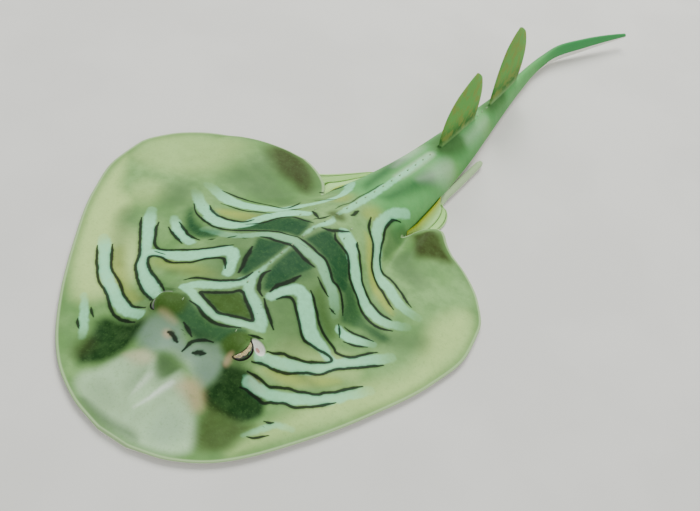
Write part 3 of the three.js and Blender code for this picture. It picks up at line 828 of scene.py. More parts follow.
PATCHES = (
    # dark diamonds on the nape and the green behind the arch
    Patch(Tone.GREEN, ((-30, 15), (-8, 20), (-3, 20), (-2, -3), (-5, -22), (-7, -31), (-13, -30),
        (-18, -15), (-25, 2))),
    Patch(Tone.GREEN, ((3, 20), (22, 17), (29, 16), (26, -1), (22, -17), (19, -30), (15, -34), (8, -25),
        (5, -15), (3, 0))),
    Patch(Tone.GREEN, ((-52, 29), (-45, 36), (-37, 50), (-30, 57), (-20, 59), (-8, 60), (-3, 37),
        (-12, 34), (-32, 28), (-53, 18))),
    Patch(Tone.GREEN, ((3, 37), (10, 36), (22, 34), (34, 31), (48, 22), (62, 20), (70, 24), (58, 36),
        (44, 50), (34, 55), (21, 58), (13, 62), (7, 59))),
    Patch(Tone.GREEN, ((-76, 10), (-62, 12), (-60, 2), (-71, -4), (-86, 3), (-98, 19), (-100, 34),
        (-90, 22)), 5),
    Patch(Tone.GREEN, ((60, 24), (75, 14), (84, 0), (95, 4), (110, 8), (130, 8), (135, 16), (122, 18),
        (111, 18), (95, 22), (78, 29), (64, 34)), 4, 0.8),
    # head, from the nape forwards
    Patch(Tone.OLIVE, ((-22, -67), (-4, -55), (3, -49), (24, -60), (26, -65), (3, -75)), 2),
    Patch(Tone.GREEN, ((-30, -76), (-11, -83), (2, -86), (14, -85), (32, -76), (34, -84), (30, -98),
        (12, -101), (3, -105), (-13, -100), (-26, -99), (-32, -88)), 4, 0.9),
    Patch(Tone.OLIVE, ((-44, -98), (-43, -86), (-34, -79), (-24, -80), (-20, -91), (-23, -99), (-31, -103),
        (-40, -104)), 4),
    Patch(Tone.OLIVE, ((24, -98), (26, -87), (33, -79), (41, -78), (44, -90), (43, -102), (36, -107),
        (28, -104)), 4),
    # painted shade: deep green in front of both eye domes, over the cheek hollows
    Patch(Tone.DEEP, ((36, -112), (48, -103), (58, -97), (69, -98), (77, -105), (84, -117), (74, -132),
        (57, -138), (44, -141), (35, -136), (38, -124), (38, -116)), 4),
    Patch(Tone.DEEP, ((-82, -123), (-76, -115), (-56, -114), (-42, -112), (-39, -124), (-39, -136),
        (-45, -148), (-56, -159), (-65, -164), (-73, -157), (-76, -140)), 6),
    Patch(Tone.BROWN, ((41, -139), (56, -136), (73, -132), (84, -128), (81, -142), (79, -157), (67, -170),
        (56, -170), (47, -156), (44, -145)), 7, 0.75),
    blot(Tone.BROWN, -73, -150, 8, 12, 8, 0.5),
    Patch(Tone.SMOKE, ((-14, -132), (-7, -127), (9, -128), (13, -132), (8, -142), (0, -147), (-8, -141)),
        6, 0.9),
    Patch(Tone.LILAC, ((-42, -124), (-40, -112), (-28, -104), (-14, -102), (-4, -110), (2, -112),
        (8, -104), (22, -100), (34, -106), (39, -116), (38, -126), (33, -133), (24, -131), (10, -125),
        (-4, -122), (-14, -130), (-28, -131)), 6, 0.9),
    blot(Tone.DEEP, 7, -101, 13, 4, 4, 0.5),
    Patch(Tone.SMOKE, ((-40, -118), (-60, -104), (-66, -82), (-40, -64), (0, -92), (44, -62), (70, -66),
        (94, -2), (84, 26), (40, 58), (0, 62), (-52, 50), (-60, 8), (-40, -50), (-20, -70), (20, -66),
        (52, -104), (20, -112), (-12, -108)), 14, 0.58),
    Patch(Tone.BEIGE, ((-47, -158), (-41, -146), (-25, -134), (-12, -134), (0, -141), (12, -134),
        (22, -140), (36, -149), (46, -157), (55, -171), (50, -184), (30, -194), (0, -198), (-30, -192),
        (-52, -182), (-56, -170)), 6),
    Patch(Tone.BEIGE, ((-20, -129), (-4, -124), (10, -127), (24, -130), (12, -120), (2, -119),
        (-10, -121)), 4, 0.5),
    Patch(Tone.SMOKE, ((-8, -146), (0, -152), (8, -147), (5, -141), (-5, -141)), 5, 0.35),
    Patch(Tone.SMOKE, ((-56, -176), (-40, -166), (-22, -168), (-12, -180), (-20, -190), (-42, -190)),
        9, 0.3),
    Patch(Tone.SMOKE, ((-20, -150), (-12, -142), (-8, -152), (-14, -168), (-24, -164)), 7, 0.28),
    Patch(Tone.YELLOW, ((-34, -172), (-18, -164), (-4, -172), (-8, -190), (-30, -188)), 8, 0.3),
    Patch(Tone.LILAC, ((18, -160), (34, -156), (44, -166), (36, -184), (20, -182)), 9, 0.35),
    # painted highlights: near-white streaks along the ridges of the snout
    Patch(Tone.CHALK, ((-1, -174), (5, -165), (10, -154), (14, -145), (11, -144), (5, -156)), 2.4, 0.8),
    Patch(Tone.CHALK, ((-9, -168), (-6, -158), (-5, -147), (-8, -147), (-10, -158)), 2.4, 0.4),
    Patch(Tone.TAN, ((-38, -142), (-25, -133), (-14, -136), (-14, -142), (-26, -145)), 5, 0.45),
    Patch(Tone.TAN, ((15, -145), (19, -135), (28, -132), (36, -136), (42, -144), (38, -150), (30, -148),
        (22, -146)), 6, 0.6),
    blot(Tone.TAN, -17, -114, 4, 3, 3, 0.6),
    blot(Tone.TAN, 38, -107, 2.5, 5, 2.5, 0.6),
    blot(Tone.TAN, -26, -103, 9, 3, 4, 0.3),
    blot(Tone.TAN, 66, -102, 9, 4, 4, 0.5),
    # painted shade: a dark teal-grey strip just inside the front rim of the snout
    Patch(Tone.SMOKE, ((-46, -190), (-23, -198), (0, -196), (17, -193), (12, -188), (-6, -189),
        (-26, -186), (-40, -184)), 5, 0.75),
    # soft tones of the fins, with painted shade on the raised rear lobes
    blot(Tone.SMOKE, 88, -67, 20, 5, 6, 0.5),
    Patch(Tone.GREEN, ((2, 20), (22, 16), (33, 10), (30, -4), (16, -12), (4, 0)), 6, 0.5),
    blot(Tone.PALE, -145, 26, 16, 18, 14, 0.5),
    Patch(Tone.SMOKE, ((-104, 108), (-94, 146), (-75, 122), (-52, 108), (-51, 85), (-81, 89), (-100, 85)),
        10, 0.55),
    Patch(Tone.SMOKE, ((-136, 46), (-119, 20), (-104, 38), (-120, 62)), 12, 0.6),
    Patch(Tone.SMOKE, ((-133, -40), (-150, -8), (-138, 0), (-120, -28), (-104, -60), (-112, -62)), 8, 0.5),
    Patch(Tone.SMOKE, ((-67, -60), (-40, -49), (-40, -42), (-66, -52)), 6, 0.5),
    Patch(Tone.SMOKE, ((60, 109), (80, 124), (108, 112), (130, 104), (134, 90), (110, 85), (82, 94)),
        9, 0.6),
    Patch(Tone.SMOKE, ((110, 8), (145, 32), (163, 42), (167, 28), (150, 11), (120, 0)), 10, 0.55),
    Patch(Tone.PALE, ((-196, 60), (-170, 20), (-148, 10), (-140, -20), (-112, -30), (-84, -60), (-90, -92),
        (-112, -112), (-150, -70), (-184, 0)), 12, 0.95),
    Patch(Tone.PALE, ((-196, 60), (-190, 110), (-150, 140), (-112, 150), (-110, 110), (-120, 80),
        (-150, 60)), 16, 0.5),
    Patch(Tone.PALE, ((84, -160), (100, -134), (142, -76), (176, -26), (196, 60), (180, 96), (160, 60),
        (164, 0), (126, -56), (92, -128)), 12, 0.8),
    Patch(Tone.PALE, ((58, -96), (92, -74), (120, -50), (136, -40), (120, -20), (84, -40), (60, -52)),
        8, 0.5),
    # painted shade over the lobe's own dark brown, on the right rear lobe
    Patch(Tone.BROWN, ((-101, 164), (-100, 176), (-87, 174), (-71, 165), (-61, 151), (-55, 136),
        (-57, 127), (-69, 130), (-80, 132), (-95, 148)), 8, 0.95),
    Patch(Tone.BROWN, ((-112, -64), (-100, -58), (-88, -72), (-74, -82), (-60, -88), (-62, -93),
        (-82, -88), (-98, -76)), 3, 0.18),
    # painted shade over the lobe's own dark brown, on the left rear lobe
    Patch(Tone.BROWN, ((52, 146), (71, 154), (90, 165), (112, 164), (128, 156), (143, 146), (125, 130),
        (104, 120), (78, 134)), 8, 0.95),
    Patch(Tone.GREEN, ((34, 123), (38, 141), (47, 142), (56, 124), (58, 107), (62, 92), (48, 102)),
        4, 0.5),
    blot(Tone.BROWN, 1, 84, 9, 6, 4, 0.8),
    blot(Tone.YELLOW, -62, 42, 22, 8, 6, 0.8),
    blot(Tone.YELLOW, -56, -45, 32, 8, 7, 0.5),
    Patch(Tone.YELLOW, ((28, 92), (52, 70), (78, 56), (104, 46), (124, 40), (120, 47), (98, 58), (78, 65),
        (60, 73), (40, 92)), 4, 0.9),
    Patch(Tone.YELLOW, ((62, -88), (82, -84), (100, -72), (112, -62), (122, -50), (114, -50), (92, -64),
        (76, -76)), 5, 0.7),
    Patch(Tone.YELLOW, ((-62, -90), (-84, -78), (-100, -62), (-116, -44), (-122, -56), (-104, -76),
        (-86, -88), (-68, -98)), 6, 0.7),
    Patch(Tone.OLIVE, ((45, 5), (58, 0), (70, -8), (84, -12), (92, -18), (84, -22), (70, -18), (55, -10),
        (45, -5)), 4, 0.5),
    *mirrored(blot(Tone.YELLOW, 16, 118, 7, 12, 6, 0.6)),
    # the tail, its saddles and its sides
    Patch(Tone.SEA, ((-46, 150), (-20, 128), (20, 128), (46, 150), (30, 300), (18, 460), (10, 640),
        (-10, 640), (-18, 460), (-30, 300)), 14, 0.75),
    *mirrored(Patch(Tone.GREEN, ((8, 140), (18, 150), (24, 190), (26, 214), (14, 218), (9, 180)), 7, 0.7)),
    *mirrored(Patch(Tone.CHALK, ((14, 196), (26, 222), (28, 244), (20, 256), (12, 240)), 9, 0.3)),
    *mirrored(Patch(Tone.CHALK, ((8, 302), (16, 300), (14, 350), (6, 356)), 8, 0.22)),
    Patch(Tone.CHALK, ((-4, 178), (4, 178), (5, 236), (0, 246), (-5, 236)), 3, 0.3),
    Patch(Tone.BROWN, ((-14, 262), (0, 248), (16, 262), (18, 292), (0, 300), (-16, 292)), 8, 0.6),
    Patch(Tone.BROWN, ((-9, 376), (0, 364), (9, 376), (9, 412), (0, 424), (-9, 412)), 7, 0.55),
    *mirrored(blot(Tone.YELLOW, 24, 250, 7, 16, 7, 0.5)),
    *mirrored(blot(Tone.YELLOW, 14, 352, 6, 14, 7, 0.5)),
)


# ---- The skin -----------------------------


@dataclass
class StationPlan:
    """Rows along the body, closer together where the form is finer."""

    spacing: Profile = Profile((
        (-200, 0.8), (-190, 1.9), (-172, 2.7), (-130, 2.6), (-118, 2.1), (-72, 2.1), (-56, 2.6),
        (110, 2.7), (150, 2.4), (170, 1.0), (172, 1.7), (182, 3.6), (240, 4.2), (440, 4.2), (688, 4.6),
    ))
    samples: int = 400

    def rows(self, stops: tuple[float, ...]) -> tuple[Array, list[int]]:
        """Row places from the first stop to the last, with a row exactly at each stop.

        Args:
            stops: Places that need a row.

        Returns:
            The places, and the row number of each stop.
        """
        places, marks = [stops[0]], [0]
        for start, end in zip(stops[:-1], stops[1:]):
            fine = np.linspace(start, end, self.samples)
            count = np.concatenate([[0.0], np.cumsum(np.diff(fine) / self.spacing.at(fine[:-1]))])
            steps = max(1, round(count[-1]))
            places.extend(np.interp(np.linspace(0, count[-1], steps + 1)[1:], count, fine))
            marks.append(marks[-1] + steps)
        return np.array(places), marks


class Part(Enum):
    """Regions of the skin's plan."""

    RIGHT_FIN = -1
    BODY = 0
    LEFT_FIN = 1
    DORSAL = 2
    PELVIC = 3
    CLASPER = 4


@dataclass(frozen=True)
class DorsalForm:
    """A broad dorsal fin with a curved front edge, a bulging rear edge and a round tip."""

    base_start: float
    base_end: float
    top: float
    sweep: float
    tip_chord: float
    bulge: float
    thickness: float = 5.0
    lean: float = 0.05
    steps: int = 32
    reach: int = 2
    foot_depth: float = 6.0
    rise_power: float = 0.9
    sweep_power: int = 4
    tip_start: float = 0.8
    tip_narrow: float = 0.12
    tip_thickness: float = 0.3
    edge_thickness: float = 0.16
    edge_power: float = 2.4
    settle: float = 0.16
    gather: float = 0.1
    fillet_steps: float = 3.5
    fillet_passes: int = 4

    def place(self, chord: float, away: float, share: float, base: Vector, foot: float) -> Vector:
        """Where a vertex of the fin stands.

        Args:
            chord: Place along the fin's base, from 0 at the front to 1 at the rear.
            away: Place across the fin, from -1 to 1.
            share: Share of the way from the back to the fin's tip.
            base: The vertex's place on the back.
            foot: Height at which the front edge starts.

        Returns:
            The place on the straight body.
        """
        height = base.z + (self.top - base.z) * share**self.rise_power
        v = min(1.0, max(0.0, (height - foot) / (self.top - foot)))
        lead = self.base_start + self.sweep * v**self.sweep_power
        trail = lerp(self.base_end, self.base_start + self.sweep + self.tip_chord, v)
        trail += self.bulge * math.sin(math.pi * v)
        in_tip = max(0.0, v - self.tip_start) / (1 - self.tip_start)
        narrow = max(self.tip_narrow, math.sqrt(max(0.0, 1 - in_tip**2)))
        round_chord = math.sqrt(max(0.0, 1 - abs(2 * chord - 1) ** self.edge_power))
        width = self.thickness / 2 * lerp(1.0, self.tip_thickness, v) * math.sqrt(narrow)
        width *= lerp(self.edge_thickness, 1.0, round_chord)
        gathered = float(smoothstep(share, 0.0, self.gather))
        x = lerp(base.x, away * width, gathered) - self.lean * max(0.0, height - base.z)
        y = lerp(lead, trail, 0.5 + (chord - 0.5) * narrow)
        return Vector((x, lerp(base.y, y, float(smoothstep(share, 0.0, self.settle))), height))


@dataclass(frozen=True)
class PelvicForm:
    """The leaf of a pelvic fin and the clasper behind it."""

    front: float = 143.0
    rear: float = 221.0
    reach: float = 76.0
    end_reach: float = 38.0
    least_reach: float = 4.0
    swell_skew: float = 0.85
    swell_power: float = 0.5
    rear_narrowing: float = 0.3
    steps: int = 13
    rim_thickness: float = 1.8
    root_thickening: float = 1.8
    root_end: float = 0.6
    droop_end: float = 0.45
    lie: float = 1.0
    lie_rise: float = 0.6
    rim_bulge: float = 0.35
    floor_gap: float = 0.15
    clasper_end: float = 312.0
    clasper_x: tuple[Range, Range] = ((29.0, 16.0), (33.0, 33.0))  # right, left
    clasper_z: float = 4.8
    clasper_radius: float = 4.8
    clasper_taper: float = 0.22
    clasper_tip: float = 0.9
    clasper_blunt: float = 0.0001
    clasper_settle: float = 0.16
    clasper_steps: int = 30

    def leaf_place(self, out: float, along: float, side: float, base: Vector, hand: int) -> Vector:
        """Where a vertex of the leaf lies.

        Args:
            out: Share of the way from the body to the rim.
            along: Place along the base, from 0 at the front to 1 at the rear.
            side: From -1 on the lower side to 1 on the upper one.
            base: The vertex's place on the body.
            hand: 1 for the left fin, -1 for the right.

        Returns:
            The place on the straight body.
        """
        swell = math.sin(math.pi * along**self.swell_skew) ** self.swell_power if 0 < along < 1 else 0.0
        widest = lerp(self.end_reach, self.reach, swell * (1 - self.rear_narrowing * along))
        x = lerp(abs(base.x), max(abs(base.x) + self.least_reach, widest), out)
        if out == 1:
            x += self.rim_bulge * (1 - side**2)
        thickening = lerp(self.root_thickening, 1.0, smoothstep(out, 0.0, self.root_end))
        middle = lerp(base.z, self.lie + self.lie_rise * out, smoothstep(out, 0.0, self.droop_end))
        z = max(self.floor_gap, middle + side * self.rim_thickness * thickening / 2)
        return Vector((hand * x, base.y, z))

    def clasper_section(
        self, along: float, start: Vector, around: float, side: float, hand: int
    ) -> tuple[float, float]:
        """Where a vertex of the clasper lies in its cross-section.

        Args:
            along: Share of the clasper's length.
            start: The vertex's place before this step.
            around: Share of the half turn from the outer side to the inner one.
            side: From -1 on the lower side to 1 on the upper one.
            hand: 1 for the left side, -1 for the right.

        Returns:
            The sideways place and the height.
        """
        angle = math.pi * (1 - around) * (1 if side >= 0 else -1)
        past = max(0.0, along - self.clasper_tip) ** 2 / ((1 - self.clasper_tip) ** 2 + self.clasper_blunt)
        radius = self.clasper_radius * (1 - self.clasper_taper * along) * math.sqrt(max(0.0, 1 - past))
        round_x = lerp(*self.clasper_x[hand > 0], along) + math.cos(angle) * radius
        round_z = self.clasper_z + math.sin(angle) * radius * math.sqrt(abs(side))
        share = float(smoothstep(along, 0.0, self.clasper_settle))
        z = max(self.floor_gap, lerp(start.z, round_z, share))
        return hand * lerp(abs(start.x), round_x, share), z


@dataclass(frozen=True)
class CaudalForm:
    """The low upright blade at the end of the tail; a pair is its start and its end."""

    blend: float = 14.0
    middle: Range = (11.0, 17.0)
    stem_below: Range = (9.5, 2.0)
    stem_above: Range = (9.0, 1.5)
    lobe_below: float = 3.2
    lobe_above: float = 7.5
    lobe_span: Range = (0.12, 0.94)
    lobe_power: float = 0.8
    lobe_start_below: float = 0.3
    lobe_start_above: float = 0.35
    climb_power: float = 1.2
    edge_half_width: float = 0.5
    round_power: float = 0.6

    def place(self, across: Array, along: Array, side: Array, half_width: Array) -> tuple[Array, Array]:
        """Place of each column of the skin on the blade.

        Args:
            across: Columns from -1 at the right fold to 1 at the left one.
            along: Share of the blade's length.
            side: 1 on the upper side, -1 on the lower one.
            half_width: Half width of the tail at each place.

        Returns:
            Sideways places and heights.
        """
        swell = np.sin(math.pi * lerp(*self.lobe_span, along)) ** self.lobe_power
        middle = lerp(*self.middle, along)
        below = lerp(*self.stem_below, along) + self.lobe_below * swell * smoothstep(
            along, 0, self.lobe_start_below
        )
        above = lerp(*self.stem_above, along) + self.lobe_above * swell * smoothstep(
            along, 0, self.lobe_start_above
        )
        climb = np.clip(1 - np.abs(across), 0, 1)
        turned = climb**self.climb_power
        width = self.edge_half_width + half_width * (1 - turned**2) ** self.round_power
        reach = np.where(side > 0, above, np.minimum(middle, below))
        return np.sign(across) * width * (climb < 1), middle + side * reach * turned


UPPER = 0.99  # a vertex of the upper skin has a side above this


class Layers:
    """Each vertex's column, row and part on the plan, its side, and how far fin and lid go there."""

    WHOLE = ("column", "row", "part")
    REAL = ("side", "rise", "lid")

    def __init__(self, mesh: BMesh) -> None:
        """Finds the layers of a mesh."""
        self.column, self.row, self.part = (mesh.verts.layers.int[name] for name in self.WHOLE)
        self.side, self.rise, self.lid = (mesh.verts.layers.float[name] for name in self.REAL)

    @classmethod
    def add_to(cls, mesh: BMesh) -> None:
        """Adds the layers to a new mesh.

        Args:
            mesh: The mesh.
        """
        for name in cls.WHOLE:
            mesh.verts.layers.int.new(name)
        for name in cls.REAL:
            mesh.verts.layers.float.new(name)

    def table(self, mesh: BMesh) -> dict[str, Array]:
        """All values as arrays, under the layers' names."""
        layers = vars(self).items()
        return {name: np.array([vert[layer] for vert in mesh.verts], float) for name, layer in layers}


def move_to(verts: Iterable[BMVert], places: Array) -> None:
    """Moves vertices to the places given, one a row."""
    for vert, place in zip(verts, places):
        vert.co = place


def faces_where(mesh: BMesh, chosen: Callable[[BMVert], bool]) -> list[BMFace]:
    """Faces of which every corner is a chosen one."""
    return [face for face in mesh.faces if all(chosen(vert) for vert in face.verts)]


def extrude(mesh: BMesh, faces: list[BMFace]) -> tuple[list[BMFace], list[BMVert]]:
    """Extrudes a patch of faces.

    Args:
        mesh: The mesh.
        faces: The patch.

    Returns:
        The new patch and its vertices.
    """
    grown = bmesh.ops.extrude_face_region(mesh, geom=faces)["geom"]
    patch = [item for item in grown if isinstance(item, BMFace)]
    return patch, [item for item in grown if isinstance(item, BMVert)]


@dataclass
class RaySkin:
    """One skin over head, trunk, fins and tail, grown from a single grid by extrusion."""

    form: BodyForm = field(default_factory=BodyForm)
    relief: HeadRelief = field(default_factory=HeadRelief)
    stations: StationPlan = field(default_factory=StationPlan)
    eyelids: Eyelids = field(default_factory=Eyelids)
    dorsal_fins: tuple[DorsalForm, ...] = (
        DorsalForm(256, 340, 106, 45, 21, 10), DorsalForm(379, 463, 118, 20, 26, 16),
    )
    pelvic: PelvicForm = field(default_factory=PelvicForm)
    caudal: CaudalForm = field(default_factory=CaudalForm)
    body_columns: int = 60
    fin_columns: int = 52
    fin_column_power: float = 1.12
    column_rounding: Range = (90.0, 150.0)
    fin_root_blend: Range = (14.0, 8.0)
    rim_cuts: int = 2
    rim_push: float = 0.7
    least_outward: float = 1e-4
    lid_refining: tuple[float, ...] = (26.0, 21.0)
    lid_refining_middle: Range = (2.0, 3.0)
    lid_reach: float = 24.0
    mesh: BMesh = field(init=False)
    layers: Layers = field(init=False)
    row_places: Array = field(init=False)
    insertion_row: int = field(init=False)
    lobe_row: int = field(init=False)
    shift: Array = field(init=False)

    @property
    def body_edges(self) -> tuple[int, int]:
        """First and last column of the body, between the pectoral fins."""
        return self.fin_columns, self.fin_columns + self.body_columns

    def build(self) -> bpy.types.Object:
        """Builds the skin in the pose.

        Returns:
            The skin's object, with its marking attributes.
        """
        self.mesh = bmesh.new()
        Layers.add_to(self.mesh)
        self.layers = Layers(self.mesh)
        self._lay_out_plan()
        self._part_lobes()
        self._give_underside()
        self._place()
        self._round_rim()
        self._shape_eyelids()
        for fin in self.dorsal_fins:
            self._grow_dorsal_fin(fin)
        for hand in (-1, 1):
            self._grow_pelvic_fin(hand)
        return self._finish()

    def _lay_out_plan(self) -> None:
        """Makes the flat grid of the plan and cuts off what lies beside the tail."""
        form, mesh, lay = self.form, self.mesh, self.layers
        self.row_places, marks = self.stations.rows(
            (form.snout_y, form.insertion_y, form.lobe_tip_y, form.tail_tip_y)
        )
        self.insertion_row, self.lobe_row = marks[1], marks[2]
        columns = self.body_columns + 2 * self.fin_columns
        rows = len(self.row_places) - 1
        bmesh.ops.create_grid(mesh, x_segments=columns, y_segments=rows, size=0.5)
        for vert in mesh.verts:
            vert[lay.column] = round((vert.co.x + 0.5) * columns)
            vert[lay.row] = round((vert.co.y + 0.5) * rows)
        first, last = self.body_edges
        right = faces_where(mesh, lambda vert: vert[lay.row] >= self.lobe_row and vert[lay.column] <= first)
        left = faces_where(mesh, lambda vert: vert[lay.row] >= self.lobe_row and vert[lay.column] >= last)
        bmesh.ops.delete(mesh, geom=right + left, context="FACES")

    def _part_lobes(self) -> None:
        """Splits the pectoral lobes from the trunk behind the insertion, and marks the parts."""
        mesh, lay = self.mesh, self.layers
        slit = [
            edge
            for edge in mesh.edges
            if edge.verts[0][lay.column] == edge.verts[1][lay.column]
            and edge.verts[0][lay.column] in self.body_edges
            and min(vert[lay.row] for vert in edge.verts) >= self.insertion_row
            and len(edge.link_faces) == 2
        ]
        bmesh.ops.split_edges(mesh, edges=slit)
        first, last = self.body_edges
        for vert in mesh.verts:
            middles = [np.mean([corner[lay.column] for corner in face.verts]) for face in vert.link_faces]
            if max(middles) < first:
                vert[lay.part] = Part.RIGHT_FIN.value
            elif min(middles) > last:
                vert[lay.part] = Part.LEFT_FIN.value

    def _give_underside(self) -> None:
        """Extrudes the plan, so that it has an upper and a lower side and a rim between them."""
        mesh, side = self.mesh, self.layers.side
        for vert in mesh.verts:
            vert[side] = -1.0
        for vert in extrude(mesh, list(mesh.faces))[1]:
            vert[side] = 1.0
        walls = [edge for edge in mesh.edges if edge.verts[0][side] != edge.verts[1][side]]
        bmesh.ops.subdivide_edges(mesh, edges=walls, cuts=self.rim_cuts, use_grid_fill=True)

    def _place(self) -> None:
        """Moves every vertex of the plan to its place on the straight body."""
        form, table = self.form, self.layers.table(self.mesh)
        column, side = table["column"], table["side"]
        y = np.interp(table["row"], np.arange(len(self.row_places)), self.row_places)
        half = form.half_width.at(y)
        first, last = self.body_edges
        across = np.clip((column - first) / self.body_columns * 2 - 1, -1, 1)
        rounding = smoothstep(y, *self.column_rounding)
        body_x = lerp(across, np.sin(across * math.pi / 2), rounding) * half
        sign = np.where(column > first, 1.0, -1.0)
        out = np.clip(np.where(sign > 0, column - last, first - column) / self.fin_columns, 0, 1)
        inner = np.where(y <= form.insertion_y, half, form.lobe_inner_edge.at(y))
        fin_x = sign * lerp(inner, form.disc_half_width.at(y), 1 - (1 - out) ** self.fin_column_power)
        is_fin = table["part"] != Part.BODY.value
        x = np.where(is_fin, fin_x, body_x)
        top, bottom = self._heights(x, y, half, is_fin)
        z = lerp(bottom, top + self.relief.height(x, y), (side + 1) / 2)
        along = np.clip((y - form.caudal_y) / (form.tail_tip_y - form.caudal_y), 0, 1)
        blade_x, blade_z = self.caudal.place(across, along, side, half)
        share = smoothstep(y, form.caudal_y - self.caudal.blend, form.caudal_y + self.caudal.blend)
        x, z = lerp(x, blade_x, share), lerp(z, blade_z, share)
        move_to(self.mesh.verts, np.stack([x, y, z], axis=1))

    def _heights(self, x: Array, y: Array, half: Array, is_fin: Array) -> tuple[Array, Array]:
        """Upper and lower height of the skin, eased where a pectoral fin leaves the trunk.

        Args:
            x: Sideways places.
            y: Places along the axis.
            half: The trunk's half width at each place.
            is_fin: Which places are on a pectoral fin.

        Returns:
            The upper and the lower heights.
        """
        form = self.form
        near_x, near_y = self.fin_root_blend
        share = bell(np.maximum(0, np.abs(x) - half), near_x)
        share = share * bell(np.maximum(0, y - form.insertion_y), near_y)
        step_top = form.body_top(half, y) - form.disc_top(half, y)
        step_bottom = form.body_bottom(half, y) - form.disc_bottom(half, y, form.edge_distance(half, y))
        fin_top = form.disc_top(x, y) + step_top * share
        fin_bottom = form.disc_bottom(x, y, form.edge_distance(x, y)) + step_bottom * share
        return (
            np.where(is_fin, fin_top, form.body_top(x, y)),
            np.where(is_fin, fin_bottom, form.body_bottom(x, y)),
        )

    def _round_rim(self) -> None:
        """Pushes the middle of the rim outwards, so that fin edges are round."""
        mesh, side = self.mesh, self.layers.side
        mesh.normal_update()
        bmesh.ops.recalc_face_normals(mesh, faces=mesh.faces)
        mesh.normal_update()
        for vert in [vert for vert in mesh.verts if abs(vert[side]) < UPPER]:
            outward = Vector((vert.normal.x, vert.normal.y, 0))
            if outward.length > self.least_outward:
                vert.co += outward.normalized() * self.rim_push

    def _shape_eyelids(self) -> None:
        """Refines the skin near the eyes, lays it over them and opens it at their slits."""
        mesh, lay = self.mesh, self.layers
        eye_x, eye_y, _ = self.eyelids.ball.centre
        past_x, past_y = self.lid_refining_middle
        for reach in self.lid_refining:
            edges = set()
            for face in faces_where(mesh, lambda vert: vert[lay.side] > UPPER):
                spot = face.calc_center_median()
                if math.hypot(abs(spot.x) - eye_x - past_x, spot.y - eye_y - past_y) < reach:
                    edges.update(face.edges)
            bmesh.ops.subdivide_edges(mesh, edges=list(edges), cuts=1, use_grid_fill=True)
        upper = [
            vert
            for vert in mesh.verts
            if vert[lay.side] > UPPER
            and math.hypot(abs(vert.co.x) - eye_x, vert.co.y - eye_y) < self.lid_reach
        ]
        moved, sunk = self.eyelids.shaped(np.array([vert.co for vert in upper]))
        move_to(upper, moved)
        for vert, share in zip(upper, sunk):
            vert[lay.lid] = share

    def _rows_between(self, start: float, end: float) -> tuple[int, int]:
        """Numbers of the first and the last row between two places along the axis."""
        rows = np.flatnonzero((self.row_places >= start) & (self.row_places <= end))
        return int(rows[0]), int(rows[-1])

    def _grow_dorsal_fin(self, fin: DorsalForm) -> None:
        """Grows a dorsal fin from the middle of the tail's back.

        Args:
            fin: The fin's form.
        """
        mesh, lay = self.mesh, self.layers
        middle = self.fin_columns + self.body_columns // 2
        first, last = self._rows_between(fin.base_start, fin.base_end)
        faces = faces_where(
            mesh,
            lambda vert: abs(vert[lay.column] - middle) <= fin.reach
            and first <= vert[lay.row] <= last
            and vert[lay.side] > UPPER,
        )
        foot = float(self.form.back_height.at(fin.base_start)) - fin.foot_depth
        corners = {vert for face in faces for vert in face.verts}
        ground = {(vert[lay.column], vert[lay.row]): vert.co.copy() for vert in corners}
        for step in range(1, fin.steps + 1):
            faces, verts = extrude(mesh, faces)
            for vert in verts:
                chord = (vert[lay.row] - first) / (last - first)
                away = (vert[lay.column] - middle) / fin.reach
                base = ground[(vert[lay.column], vert[lay.row])]
                vert.co = fin.place(chord, away, step / fin.steps, base, foot)
                vert[lay.part] = Part.DORSAL.value
                vert[lay.rise] = step / fin.steps
        low = fin.fillet_steps / fin.steps
        grown = [vert for vert in mesh.verts if vert[lay.part] == Part.DORSAL.value]
        rooted = [vert for vert in grown if vert[lay.rise] < low]
        around = {other for vert in rooted for edge in vert.link_edges for other in edge.verts}
        for _ in range(fin.fillet_passes):
            bmesh.ops.smooth_vert(mesh, verts=list(around), factor=0.5, use_axis_x=True, use_axis_z=True)

    def _grow_pelvic_fin(self, hand: int) -> None:
        """Grows a pelvic fin from the side of the tail's root, and a clasper from its rear edge.

        Args:
            hand: 1 for the left fin, -1 for the right.
        """
        mesh, lay, fin = self.mesh, self.layers, self.pelvic
        edge_column = self.body_edges[hand > 0]
        first, last = self._rows_between(fin.front, fin.rear)
        faces = faces_where(
            mesh,
            lambda vert: vert[lay.column] == edge_column
            and first <= vert[lay.row] <= last
            and vert[lay.part] == Part.BODY.value,
        )
        corners = {vert for face in faces for vert in face.verts}
        ground = {(vert[lay.row], round(vert[lay.side], 2)): vert.co.copy() for vert in corners}
        for step in range(1, fin.steps + 1):
            faces, verts = extrude(mesh, faces)
            for vert in verts:
                base = ground[(vert[lay.row], round(vert[lay.side], 2))]
                along = (vert[lay.row] - first) / (last - first)
                vert.co = fin.leaf_place(step / fin.steps, along, vert[lay.side], base, hand)
                vert[lay.part] = Part.PELVIC.value
                vert[lay.rise] = step / fin.steps
        self._grow_clasper(hand, last)

